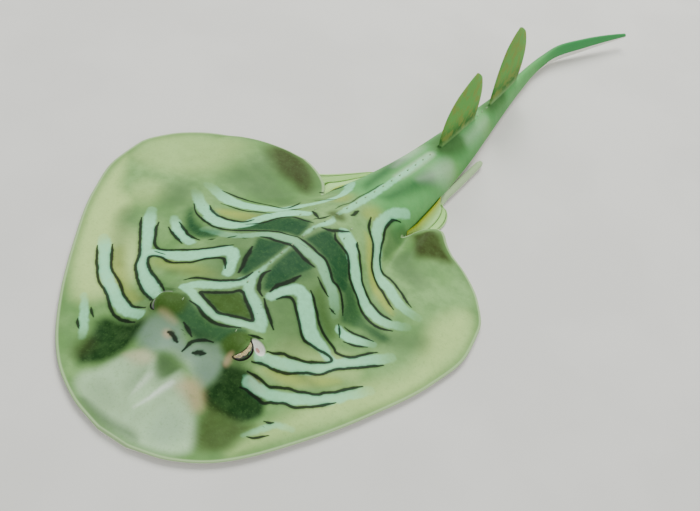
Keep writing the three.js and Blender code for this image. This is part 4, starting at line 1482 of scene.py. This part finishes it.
    def _grow_clasper(self, hand: int, rear_row: int) -> None:
        """Grows a clasper backwards from the rear edge of a pelvic fin.

        Args:
            hand: 1 for the left side, -1 for the right.
            rear_row: Last row of the pelvic fin.
        """
        mesh, lay, fin = self.mesh, self.layers, self.pelvic
        start_y = float(self.row_places[rear_row])
        faces = [
            face
            for face in faces_where(mesh, lambda vert: vert[lay.row] == rear_row and vert.co.x * hand > 0)
            if any(vert[lay.part] == Part.PELVIC.value for vert in face.verts)
            and len({round(vert[lay.rise], 3) for vert in face.verts}) > 1
            and abs(face.calc_center_median().y - start_y) < 0.5
        ]
        for step in range(1, fin.clasper_steps + 1):
            along = step / fin.clasper_steps
            faces, verts = extrude(mesh, faces)
            for vert in verts:
                x, z = fin.clasper_section(along, vert.co, vert[lay.rise], vert[lay.side], hand)
                vert.co = (x, lerp(start_y, fin.clasper_end, along), z)
                vert[lay.part] = Part.CLASPER.value

    def _finish(self) -> bpy.types.Object:
        """Bends the mesh into the pose, centres it on the frame and gives it its attributes.

        Returns:
            The skin's object.
        """
        mesh = self.mesh
        bmesh.ops.recalc_face_normals(mesh, faces=mesh.faces)
        mesh.normal_update()
        table = self.layers.table(mesh)
        straight = np.array([vert.co for vert in mesh.verts])
        posed = self.form.bent(straight)
        self.shift = frame_shift(posed)
        move_to(mesh.verts, posed * MM + self.shift)
        skin = smooth_object(mesh, "ray_skin")
        SkinMarkings(self.form, self.relief, straight, table).write(skin.data)
        return skin


@dataclass
class SkinMarkings:
    """The values that the skin's finish reads, worked out for every vertex of the straight skin."""

    form: BodyForm
    relief: HeadRelief
    straight: Array
    table: dict[str, Array]
    band_limit: float = 40.0
    line_limit: float = 99.0
    line_reach: float = 4.0
    outer_side: float = 0.5
    clear: float = 30.0
    rim_turn: Range = (-0.4, 0.4)
    leaf_turn: Range = (0.7, 0.95)
    least_rise: float = 0.02
    caudal_start: Range = (505.0, 600.0)
    right_spiracle: float = 0.4

    def write(self, data: bpy.types.Mesh) -> None:
        """Writes the values to the mesh as attributes.

        Args:
            data: The skin's mesh.
        """
        x, y = self.straight[:, 0], self.straight[:, 1]
        part, side = self.table["part"], self.table["side"]
        rise = np.maximum(self.least_rise, self.table["rise"])
        on_body = part <= Part.LEFT_FIN.value
        is_back, is_belly = on_body & (side > self.outer_side), on_body & (side < -self.outer_side)
        reach, band_ink = np.full(len(x), self.band_limit), np.zeros(len(x))
        for band in BANDS:
            band.draw(x, y, reach, band_ink)
        below = np.where(on_body, smoothstep(-side, *self.rim_turn), smoothstep(-side, *self.leaf_turn))
        values = {
            "band": np.where(is_back, reach, self.clear),
            "band_ink": band_ink,
            "below": below * (part != Part.DORSAL.value),
            "edge": np.where(on_body, self.form.edge_distance(x, y), self.clear),
            "dorsal": (part == Part.DORSAL.value) * rise,
            "caudal": (part == Part.BODY.value) * smoothstep(y, *self.caudal_start),
            "pelvic": (part == Part.PELVIC.value) * rise,
            "clasper": (part == Part.CLASPER.value) * 1.0,
            "lid": self.table["lid"],
            "spiracle": self.relief.crater(x, y) * is_back * np.where(x > 0, 1.0, self.right_spiracle),
        }
        values |= {tone.layer: np.zeros(len(x)) for tone in Tone}
        for patch in PATCHES:
            share = values[patch.tone.layer]
            np.maximum(share, patch.share(x, y) * on_body, out=share)
        for number, (signed, ink) in enumerate(self._line_layers(x, y, is_back, is_belly)):
            values[f"line_{number}"] = signed
            values[f"ink_{number}"] = ink
        for name, value in values.items():
            attribute = data.attributes.new(name, "FLOAT", "POINT")
            attribute.data.foreach_set("value", np.asarray(value, np.float32))

    def _line_layers(
        self, x: Array, y: Array, is_back: Array, is_belly: Array
    ) -> list[tuple[Array, Array]]:
        """Dark lines spread over a few layers, so that no two of one layer come close.

        Args:
            x: Sideways places.
            y: Places along the axis.
            is_back: Which vertices lie on the back.
            is_belly: Which vertices lie on the belly.

        Returns:
            Signed distance and ink of every layer.
        """
        layers = [(np.full(len(x), self.line_limit), np.zeros(len(x))) for _ in range(LINE_LAYERS)]
        for line, chosen in [(line, is_back) for line in LINES] + [(line, is_belly) for line in BELLY_LINES]:
            near, signed, ink = line.beside(x, y)
            kept = chosen[near] & (np.abs(signed) < self.line_reach * line.margin)
            near, signed, ink = near[kept], signed[kept], ink[kept]
            clashes = [float((layer_ink[near] * ink).sum()) for _, layer_ink in layers]
            layer_signed, layer_ink = layers[int(np.argmin(clashes))]
            nearer = (np.abs(signed) < np.abs(layer_signed[near])) & (ink >= layer_ink[near])
            closer = nearer | (ink > layer_ink[near])
            layer_signed[near[closer]], layer_ink[near[closer]] = signed[closer], ink[closer]
            if min(clashes) > 0:
                LOG.info("a line near (%d, %d) shares its layer", *line.points[0])
        return layers


def smooth_object(mesh: BMesh, name: str) -> bpy.types.Object:
    """Turns a finished mesh into a smooth-shaded object of the scene.

    Args:
        mesh: The mesh, which is freed.
        name: The object's name.

    Returns:
        The object.
    """
    data = bpy.data.meshes.new(name)
    mesh.to_mesh(data)
    mesh.free()
    data.polygons.foreach_set("use_smooth", [True] * len(data.polygons))
    item = bpy.data.objects.new(name, data)
    bpy.context.scene.collection.objects.link(item)
    return item


def frame_shift(posed: Array) -> Array:
    """Move from the posed body, in metres, to the middle of the frame's box.

    Args:
        posed: The posed body's vertices, in millimetres.

    Returns:
        The move, level with the floor.
    """
    low, high = (np.array(corner) for corner in CAD_BOX)
    own = (posed.min(axis=0) + posed.max(axis=0)) / 2 * MM
    move = (low + high) / 2 - own
    return np.array([move[0], move[1], 0.0])


# ---- Finishes -----------------------------


@dataclass(frozen=True)
class Speckle:
    """A cloudy pattern: waves per metre, and the range of its values that is spread out."""

    scale: float
    range: Range
    detail: float = 3.0
    roughness: float = 0.6


class NodeSheet:
    """Short words for making a material's nodes, and the colour that is painted so far."""

    def __init__(self, name: str, colour: Colour) -> None:
        """Starts a material with one principled shader.

        Args:
            name: The material's name.
            colour: Its first colour.
        """
        self.colour: Socket | Colour = colour
        self.material = bpy.data.materials.new(name)
        self.material.use_nodes = True
        self.tree = self.material.node_tree
        self.tree.nodes.clear()
        self.shader = self.tree.nodes.new("ShaderNodeBsdfPrincipled")
        output = self.tree.nodes.new("ShaderNodeOutputMaterial")
        self.tree.links.new(self.shader.outputs["BSDF"], output.inputs["Surface"])

    def attribute(self, name: str) -> Socket:
        """Value of a mesh attribute.

        Args:
            name: The attribute's name.

        Returns:
            The value.
        """
        node = self.tree.nodes.new("ShaderNodeAttribute")
        node.attribute_name = name
        return node.outputs["Fac"]

    def noise(self, scale: float, detail: float, roughness: float) -> Socket:
        """Noise over the object's own coordinates.

        Args:
            scale: Waves per metre.
            detail: Number of finer layers.
            roughness: Strength of the finer layers.

        Returns:
            The noise, from 0 to 1.
        """
        node = self.tree.nodes.new("ShaderNodeTexNoise")
        for name, number in (("Scale", scale), ("Detail", detail), ("Roughness", roughness)):
            node.inputs[name].default_value = number
        coordinates = self.tree.nodes.new("ShaderNodeTexCoord")
        self.tree.links.new(coordinates.outputs["Object"], node.inputs["Vector"])
        return node.outputs["Fac"]

    def mottle(self, speckle: Speckle, start: float = 0.0, end: float = 1.0) -> Socket:
        """Noise eased from start to end over the speckle's range."""
        noise = self.noise(speckle.scale, speckle.detail, speckle.roughness)
        return self.ramp(noise, *speckle.range, start, end)

    def ramp(self, value: Socket, low: float, high: float, start: float = 0.0, end: float = 1.0) -> Socket:
        """Eased range of a value.

        Args:
            value: The value.
            low: Where the result is start.
            high: Where the result is end.
            start: Result at low.
            end: Result at high.

        Returns:
            The eased value.
        """
        node = self.tree.nodes.new("ShaderNodeMapRange")
        node.interpolation_type = "SMOOTHSTEP"
        for name, number in (("From Min", low), ("From Max", high), ("To Min", start), ("To Max", end)):
            node.inputs[name].default_value = number
        self.tree.links.new(value, node.inputs["Value"])
        return node.outputs["Result"]

    def math(self, operation: str, first: Socket | float, second: Socket | float) -> Socket:
        """Sum, product or other mathematics of two values.

        Args:
            operation: Blender's name of the operation.
            first: First value or number.
            second: Second value or number.

        Returns:
            The result.
        """
        node = self.tree.nodes.new("ShaderNodeMath")
        node.operation = operation
        for slot, value in enumerate((first, second)):
            if isinstance(value, Socket):
                self.tree.links.new(value, node.inputs[slot])
            else:
                node.inputs[slot].default_value = value
        return node.outputs["Value"]

    def times(self, first: Socket, second: Socket | float) -> Socket:
        """Product of two values."""
        return self.math("MULTIPLY", first, second)

    def mix(self, below: Socket | Colour, above: Socket | Colour, share: Socket | float) -> Socket:
        """Lays one colour over another.

        Args:
            below: The colour below.
            above: The colour above.
            share: How much of the upper one shows.

        Returns:
            The mixed colour.
        """
        node = self.tree.nodes.new("ShaderNodeMix")
        node.data_type = "RGBA"
        for name, value in (("A", below), ("B", above)):
            socket = next(item for item in node.inputs if item.name == name and item.type == "RGBA")
            if isinstance(value, Socket):
                self.tree.links.new(value, socket)
            else:
                socket.default_value = (*value, 1.0)
        if isinstance(share, Socket):
            self.tree.links.new(share, node.inputs[0])
        else:
            node.inputs[0].default_value = share
        return next(item for item in node.outputs if item.type == "RGBA")

    def bump(self, height: Socket, strength: float, distance: float) -> None:
        """Gives the shader a bumpy normal.

        Args:
            height: Height from 0 to 1.
            strength: How strong the bump is.
            distance: Height of a full bump in metres.
        """
        node = self.tree.nodes.new("ShaderNodeBump")
        node.inputs["Strength"].default_value = strength
        node.inputs["Distance"].default_value = distance
        self.tree.links.new(height, node.inputs["Height"])
        self.tree.links.new(node.outputs["Normal"], self.shader.inputs["Normal"])

    def lay(self, colour: Socket | Colour, share: Socket | float) -> None:
        """Lays a colour over what is painted so far."""
        self.colour = self.mix(self.colour, colour, share)

    def paint(self) -> bpy.types.Material:
        """Gives the shader the painted colour, and the finished material back."""
        self.tree.links.new(self.colour, self.shader.inputs["Base Color"])
        return self.material

    def set(self, socket: str, number: float) -> None:
        """Gives one of the shader's sockets a constant value."""
        self.shader.inputs[socket].default_value = number


@dataclass(frozen=True)
class SkinFinish:
    """Moist, fine-grained olive skin with mint bands, dark lines and a white underside."""

    olive: Colour = srgb(0x638F4C)
    olive_pale: Colour = srgb(0x82AC66)
    grey_green: Colour = srgb(0x567D46)
    mint: Colour = srgb(0x90E2AE)
    line: Colour = srgb(0x061504)
    # painted rim light: the pale line along the very edge of the disc
    rim: Colour = srgb(0xA6C48C)
    rim_shade: Colour = srgb(0x557D3E)
    belly: Colour = srgb(0xE9E6DC)
    belly_line: Colour = srgb(0x8C6F66)
    spiracle_white: Colour = srgb(0xE6E6DA)
    spiracle_pink: Colour = srgb(0xA9675E)
    lid: Colour = srgb(0x0B0C06)
    dorsal: Colour = srgb(0x5F9E46)
    dorsal_brown: Colour = srgb(0x7E8C3A)
    dorsal_base: Colour = srgb(0x2A5F20)
    caudal: Colour = srgb(0x3E9150)
    pelvic: Colour = srgb(0xB0E088)
    pelvic_root: Colour = srgb(0xA8B418)
    clasper: Colour = srgb(0xA4C08E)
    clouds: Speckle = Speckle(16.0, (0.35, 0.65), roughness=0.55)
    mottling: Speckle = Speckle(75.0, (0.35, 0.7), detail=4.0)
    ragged: Speckle = Speckle(120.0, (0.3, 0.7))
    freckles: Speckle = Speckle(420.0, (0.5, 0.75), roughness=0.65)
    band_wobble: Speckle = Speckle(140.0, (0.3, 0.7), 2.0, 0.5)
    band_patches: Speckle = Speckle(260.0, (0.3, 0.7))
    line_wobble: Speckle = Speckle(110.0, (0.3, 0.7), 2.0, 0.5)
    fin_flecks: Speckle = Speckle(90.0, (0.42, 0.62))
    tone_share: Range = (0.9, 1.0)
    mottle_share: float = 0.45
    freckle_share: float = 0.22
    rim_shade_edge: Range = (9.0, 2.0)
    rim_shade_share: float = 0.35
    rim_edge: Range = (2.2, 0.8)
    rim_share: float = 0.75
    band_edge: Range = (0.5, -2.4)
    band_share: Range = (0.82, 1.0)
    band_shift: float = 0.6
    line_ink: Range = (0.4, 0.85)
    line_shift: float = 0.35
    line_core: Range = (1.9, 0.7)
    line_halo: Range = (4.0, 0.8)
    line_share: float = 0.93
    halo_share: float = 0.3
    white_edge: Range = (0.1, 0.45)
    white_share: float = 0.9
    pink_edge: Range = (0.95, 1.0)
    pink_share: float = 0.8
    lid_edge: Range = (0.05, 0.4)
    fleck_share: float = 0.75
    grain_scale: float = 1100.0
    fold_scale: float = 160.0
    grain_share: float = 0.35
    bump_strength: float = 0.45
    bump_depth: float = 0.0008
    roughness: float = 0.6
    specular: float = 0.12

    def build(self) -> bpy.types.Material:
        """Makes the material.

        Returns:
            The material.
        """
        sheet = NodeSheet("ray_skin", self.olive)
        sheet.lay(self.olive_pale, sheet.mottle(self.clouds))
        sheet.lay(self.grey_green, sheet.mottle(self.mottling, 0.0, self.mottle_share))
        ragged = sheet.mottle(self.ragged, *self.tone_share)
        for tone in Tone:
            sheet.lay(tone.colour, sheet.times(sheet.attribute(tone.layer), ragged))
        sheet.lay(self.rim_shade, sheet.mottle(self.freckles, 0.0, self.freckle_share))
        edge = sheet.attribute("edge")
        sheet.lay(self.rim_shade, sheet.ramp(edge, *self.rim_shade_edge, 0.0, self.rim_shade_share))
        # painted rim light: a pale line within about 2 mm of the disc's edge
        sheet.lay(self.rim, sheet.ramp(edge, *self.rim_edge, 0.0, self.rim_share))
        self._draw_bands(sheet)
        self._draw_fins(sheet)
        below = sheet.attribute("below")
        sheet.lay(self.belly, below)
        self._draw_lines(sheet, below)
        self._draw_openings(sheet)
        grain = sheet.times(sheet.noise(self.grain_scale, 2.0, 0.6), self.grain_share)
        folds = sheet.times(sheet.noise(self.fold_scale, 3.0, 0.5), 1 - self.grain_share)
        sheet.bump(sheet.math("ADD", grain, folds), self.bump_strength, self.bump_depth)
        sheet.set("Roughness", self.roughness)
        sheet.set("Specular IOR Level", self.specular)
        return sheet.paint()

    def _draw_bands(self, sheet: NodeSheet) -> None:
        """Draws the pale bands.

        Args:
            sheet: The material's nodes.
        """
        wobble = sheet.mottle(self.band_wobble, -self.band_shift, self.band_shift)
        band = sheet.math("ADD", sheet.attribute("band"), wobble)
        fill = sheet.times(sheet.ramp(band, *self.band_edge), sheet.attribute("band_ink"))
        sheet.lay(self.mint, sheet.times(fill, sheet.mottle(self.band_patches, *self.band_share)))

    def _draw_lines(self, sheet: NodeSheet, below: Socket) -> None:
        """Draws the dark lines of the back and the mouth and gill slits of the belly.

        Args:
            sheet: The material's nodes.
            below: Share of the belly.
        """
        wobble = sheet.mottle(self.line_wobble, -self.line_shift, self.line_shift)
        drawn, shaded = 0.0, 0.0
        for number in range(LINE_LAYERS):
            away = sheet.math("ABSOLUTE", sheet.math("ADD", sheet.attribute(f"line_{number}"), wobble), 0.0)
            ink = sheet.ramp(sheet.attribute(f"ink_{number}"), *self.line_ink)
            drawn = sheet.math("MAXIMUM", drawn, sheet.times(sheet.ramp(away, *self.line_core), ink))
            shaded = sheet.math("MAXIMUM", shaded, sheet.times(sheet.ramp(away, *self.line_halo), ink))
        sheet.lay(Tone.GREEN.colour, sheet.times(shaded, self.halo_share))
        sheet.lay(sheet.mix(self.line, self.belly_line, below), sheet.times(drawn, self.line_share))

    def _draw_openings(self, sheet: NodeSheet) -> None:
        """Colours the spiracles white and pink, and the inside of the eyelids black.

        Args:
            sheet: The material's nodes.
        """
        crater = sheet.attribute("spiracle")
        sheet.lay(self.spiracle_white, sheet.ramp(crater, *self.white_edge, 0.0, self.white_share))
        sheet.lay(self.spiracle_pink, sheet.ramp(crater, *self.pink_edge, 0.0, self.pink_share))
        sheet.lay(self.lid, sheet.ramp(sheet.attribute("lid"), *self.lid_edge))

    def _draw_fins(self, sheet: NodeSheet) -> None:
        """Colours the upright fins, the pelvic fins and the claspers.

        Args:
            sheet: The material's nodes.
        """
        rise = sheet.attribute("dorsal")
        tone = sheet.mix(self.dorsal_base, self.dorsal, sheet.ramp(rise, 0.02, 0.4))
        tone = sheet.mix(tone, self.dorsal_brown, sheet.mottle(self.fin_flecks, 0.0, self.fleck_share))
        sheet.lay(tone, sheet.ramp(rise, 0.0, 0.12))
        sheet.lay(self.caudal, sheet.attribute("caudal"))
        reach = sheet.attribute("pelvic")
        leaf = sheet.mix(self.pelvic_root, self.pelvic, sheet.ramp(reach, 0.05, 0.4))
        sheet.lay(leaf, sheet.ramp(reach, 0.0, 0.06))
        sheet.lay(self.clasper, sheet.attribute("clasper"))


@dataclass(frozen=True)
class EyeFinish:
    """Wet black eye with a golden lobed fringe hanging over the pupil."""

    gold: Colour = srgb(0xE3CF92)
    amber: Colour = srgb(0x7A6534)
    pupil: Colour = (0.004, 0.004, 0.004)
    streaks: Speckle = Speckle(1500.0, (0.38, 0.56), roughness=0.7)
    fringe_edge: Range = (-1.0, 1.5)
    roughness: float = 0.15
    coat_roughness: float = 0.03

    def build(self) -> bpy.types.Material:
        """Makes the material.

        Returns:
            The material.
        """
        sheet = NodeSheet("ray_eye", self.pupil)
        gold = sheet.mix(self.amber, self.gold, sheet.mottle(self.streaks))
        sheet.lay(gold, sheet.ramp(sheet.attribute("fringe"), *self.fringe_edge))
        sheet.set("Roughness", self.roughness)
        sheet.set("Coat Weight", 1.0)
        sheet.set("Coat Roughness", self.coat_roughness)
        return sheet.paint()


@dataclass(frozen=True)
class PlainFinish:
    """A finish of one colour with a faint mottle."""

    name: str
    colour: Colour
    shade: Colour
    roughness: float = 0.6
    scale: float = 30.0

    def build(self) -> bpy.types.Material:
        """Makes the material.

        Returns:
            The material.
        """
        sheet = NodeSheet(self.name, self.colour)
        sheet.lay(self.shade, sheet.mottle(Speckle(self.scale, (0.4, 0.6), roughness=0.5)))
        sheet.set("Roughness", self.roughness)
        return sheet.paint()


# ---- Eyes and thorns ----------------------


@dataclass
class RayEye:
    """An eyeball behind the lids, with the fringe that shades its pupil."""

    hand: int
    form: BodyForm
    shift: Array
    ball: Eyeball = field(default_factory=Eyeball)
    fringe_lifts: Range = (30.0, 56.0)  # left, right
    fringe_sag: float = 8.0
    sag_turn: float = 70.0
    lobe_depth: float = 6.0
    lobe_turn: float = 15.0
    rings: int = 56

    def build(self) -> bpy.types.Object:
        """Builds the eyeball with its fringe attribute.

        Returns:
            The eyeball's object.
        """
        mesh = bmesh.new()
        bmesh.ops.create_uvsphere(mesh, u_segments=2 * self.rings, v_segments=self.rings, radius=1.0)
        x, y, z = np.array([vert.co for vert in mesh.verts]).T
        turn = np.degrees(np.arctan2(y, x * self.hand))
        lift = np.degrees(np.arcsin(np.clip(z, -1, 1)))
        lobes = np.abs(np.sin(np.radians(turn) * 90 / self.lobe_turn))
        sag = self.fringe_sag * np.minimum(1.0, (turn / self.sag_turn) ** 2)
        fringe = lift - (self.fringe_lifts[self.hand < 0] - sag) + self.lobe_depth * lobes
        points = np.stack([x, y, z], axis=1) * self.ball.radii
        points += np.array(self.ball.centre) * [self.hand, 1, 1]
        move_to(mesh.verts, self.form.bent(points) * MM + self.shift)
        eye = smooth_object(mesh, "eye_ball_left" if self.hand > 0 else "eye_ball_right")
        attribute = eye.data.attributes.new("fringe", "FLOAT", "POINT")
        attribute.data.foreach_set("value", fringe.astype(np.float32))
        return eye


@dataclass
class MidlineThorns:
    """Small thorns that point backwards, along the midline, by the eyes and on the shoulders."""

    form: BodyForm
    relief: HeadRelief
    shift: Array
    midline: tuple[float, ...] = (
        *range(-36, 70, 15), *range(86, 246, 14), *range(350, 376, 12),
    )
    paired: tuple[tuple[float, float], ...] = ((27, -83), (20, 81), (24, 66))
    size: float = 1.4  # what follows it is in parts of this
    root_radius: float = 0.7
    point_radius: float = 0.08
    length: float = 1.9
    lift: float = 0.35
    facets: int = 8
    lean: float = math.radians(50)

    def build(self) -> bpy.types.Object:
        """Builds all thorns as one mesh.

        Returns:
            The thorns' object.
        """
        mesh = bmesh.new()
        paired = [(hand * x, y) for x, y in self.paired for hand in (-1, 1)]
        for x, y in [(0.0, y) for y in self.midline] + paired:
            thorn = bmesh.ops.create_cone(
                mesh, cap_ends=True, segments=self.facets, radius1=self.root_radius * self.size,
                radius2=self.point_radius * self.size, depth=self.length * self.size,
            )["verts"]
            bmesh.ops.rotate(mesh, verts=thorn, cent=(0, 0, 0), matrix=Matrix.Rotation(-self.lean, 3, "X"))
            spot = np.array([x]), np.array([y])
            top = float((self.form.body_top(*spot) + self.relief.height(*spot))[0])
            bmesh.ops.translate(mesh, verts=thorn, vec=(x, y, top + self.lift * self.size))
        points = np.array([vert.co for vert in mesh.verts])
        move_to(mesh.verts, self.form.bent(points) * MM + self.shift)
        return smooth_object(mesh, "midline_thorns")


# ---- Studio -------------------------------


@dataclass(frozen=True)
class SoftLight:
    """A soft square light that faces the middle of the floor, with its power in watts."""

    name: str
    place: tuple[float, float, float]
    size: float
    power: float

    def build(self) -> None:
        """Adds the light to the scene."""
        lamp = bpy.data.lights.new(self.name, "AREA")
        lamp.size = self.size
        lamp.energy = self.power
        light = bpy.data.objects.new(self.name, lamp)
        light.location = self.place
        light.rotation_euler = (-Vector(self.place)).to_track_quat("-Z", "Y").to_euler()
        bpy.context.scene.collection.objects.link(light)


@dataclass(frozen=True)
class Studio:
    """Pale floor, soft lights and the camera."""

    target: tuple[float, float, float] = (0.0628, -0.1794, 0.03)
    distance: float = 0.843
    azimuth: float = math.radians(20.1)
    elevation: float = math.radians(45.0)
    roll: float = math.radians(14.3)
    lens: float = 46.7
    sensor: float = 36.0
    floor_size: float = 12.0
    sky: Colour = (0.93, 0.97, 1.0)
    sky_strength: float = 0.6
    lights: tuple[SoftLight, ...] = (
        SoftLight("key", (-0.6, 1.6, 2.4), 2.0, 120.0), SoftLight("fill", (1.6, -1.8, 2.0), 2.4, 34.0),
    )

    def build(self) -> None:
        """Builds the floor, the lights and the camera."""
        self._floor()
        self._world()
        for light in self.lights:
            light.build()
        self._camera()

    def _floor(self) -> None:
        """Lays the floor."""
        mesh = bmesh.new()
        bmesh.ops.create_grid(mesh, x_segments=1, y_segments=1, size=self.floor_size / 2)
        floor = smooth_object(mesh, "studio_floor")
        finish = PlainFinish("studio_floor", srgb(0xD9D8D0), srgb(0xD4D3CB), roughness=0.9, scale=6.0)
        floor.data.materials.append(finish.build())

    def _world(self) -> None:
        """Gives the scene a soft pale sky."""
        world = bpy.data.worlds.new("studio_sky")
        world.use_nodes = True
        background = world.node_tree.nodes["Background"]
        background.inputs["Color"].default_value = (*self.sky, 1.0)
        background.inputs["Strength"].default_value = self.sky_strength
        bpy.context.scene.world = world

    def _camera(self) -> None:
        """Sets up the camera, turned a little about its own axis."""
        level = math.cos(self.elevation)
        forward = Vector((
            -math.sin(self.azimuth) * level, math.cos(self.azimuth) * level, -math.sin(self.elevation)
        ))
        right = Vector((math.cos(self.azimuth), math.sin(self.azimuth), 0))
        up = right.cross(forward)
        rolled_right = math.cos(self.roll) * right + math.sin(self.roll) * up
        rolled_up = math.cos(self.roll) * up - math.sin(self.roll) * right
        lens = bpy.data.cameras.new("camera")
        lens.lens = self.lens
        lens.sensor_width = self.sensor
        camera = bpy.data.objects.new("camera", lens)
        place = Vector(self.target) - self.distance * forward
        turn = Matrix((rolled_right, rolled_up, -forward)).transposed().to_4x4()
        camera.matrix_world = Matrix.Translation(place) @ turn
        bpy.context.scene.collection.objects.link(camera)
        bpy.context.scene.camera = camera


# ---- Main ---------------------------------

FLESH_NODES = (
    "head", "trunk", "pectoral_fin_left", "pectoral_fin_right", "tail_base", "tail_middle", "tail_rear",
    "tail_end", "pelvic_fin_left", "pelvic_fin_right", "clasper_left", "clasper_right",
    "dorsal_fin_front", "dorsal_fin_rear", "caudal_fin",
)


def report(piece: bpy.types.Object) -> None:
    """Logs a finished piece's name and size."""
    LOG.info("%s: %d faces", piece.name, len(piece.data.polygons))


def main() -> None:
    """Builds the ray around the frame."""
    logging.basicConfig(level=logging.INFO, format="%(message)s")
    Studio().build()
    maker = RaySkin()
    skin = maker.build()
    skin.data.materials.append(SkinFinish().build())
    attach(skin, "root")
    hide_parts(*FLESH_NODES)
    report(skin)
    thorns = MidlineThorns(maker.form, maker.relief, maker.shift).build()
    thorns.data.materials.append(PlainFinish("thorn", srgb(0x9DB889), srgb(0x86A474), 0.5).build())
    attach(thorns, "root")
    report(thorns)
    eye_finish = EyeFinish().build()
    for hand, node in ((1, "eye_left"), (-1, "eye_right")):
        eye = RayEye(hand, maker.form, maker.shift).build()
        eye.data.materials.append(eye_finish)
        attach(eye, "root")
        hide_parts(node)
        report(eye)


if __name__ == "__main__":
    main()
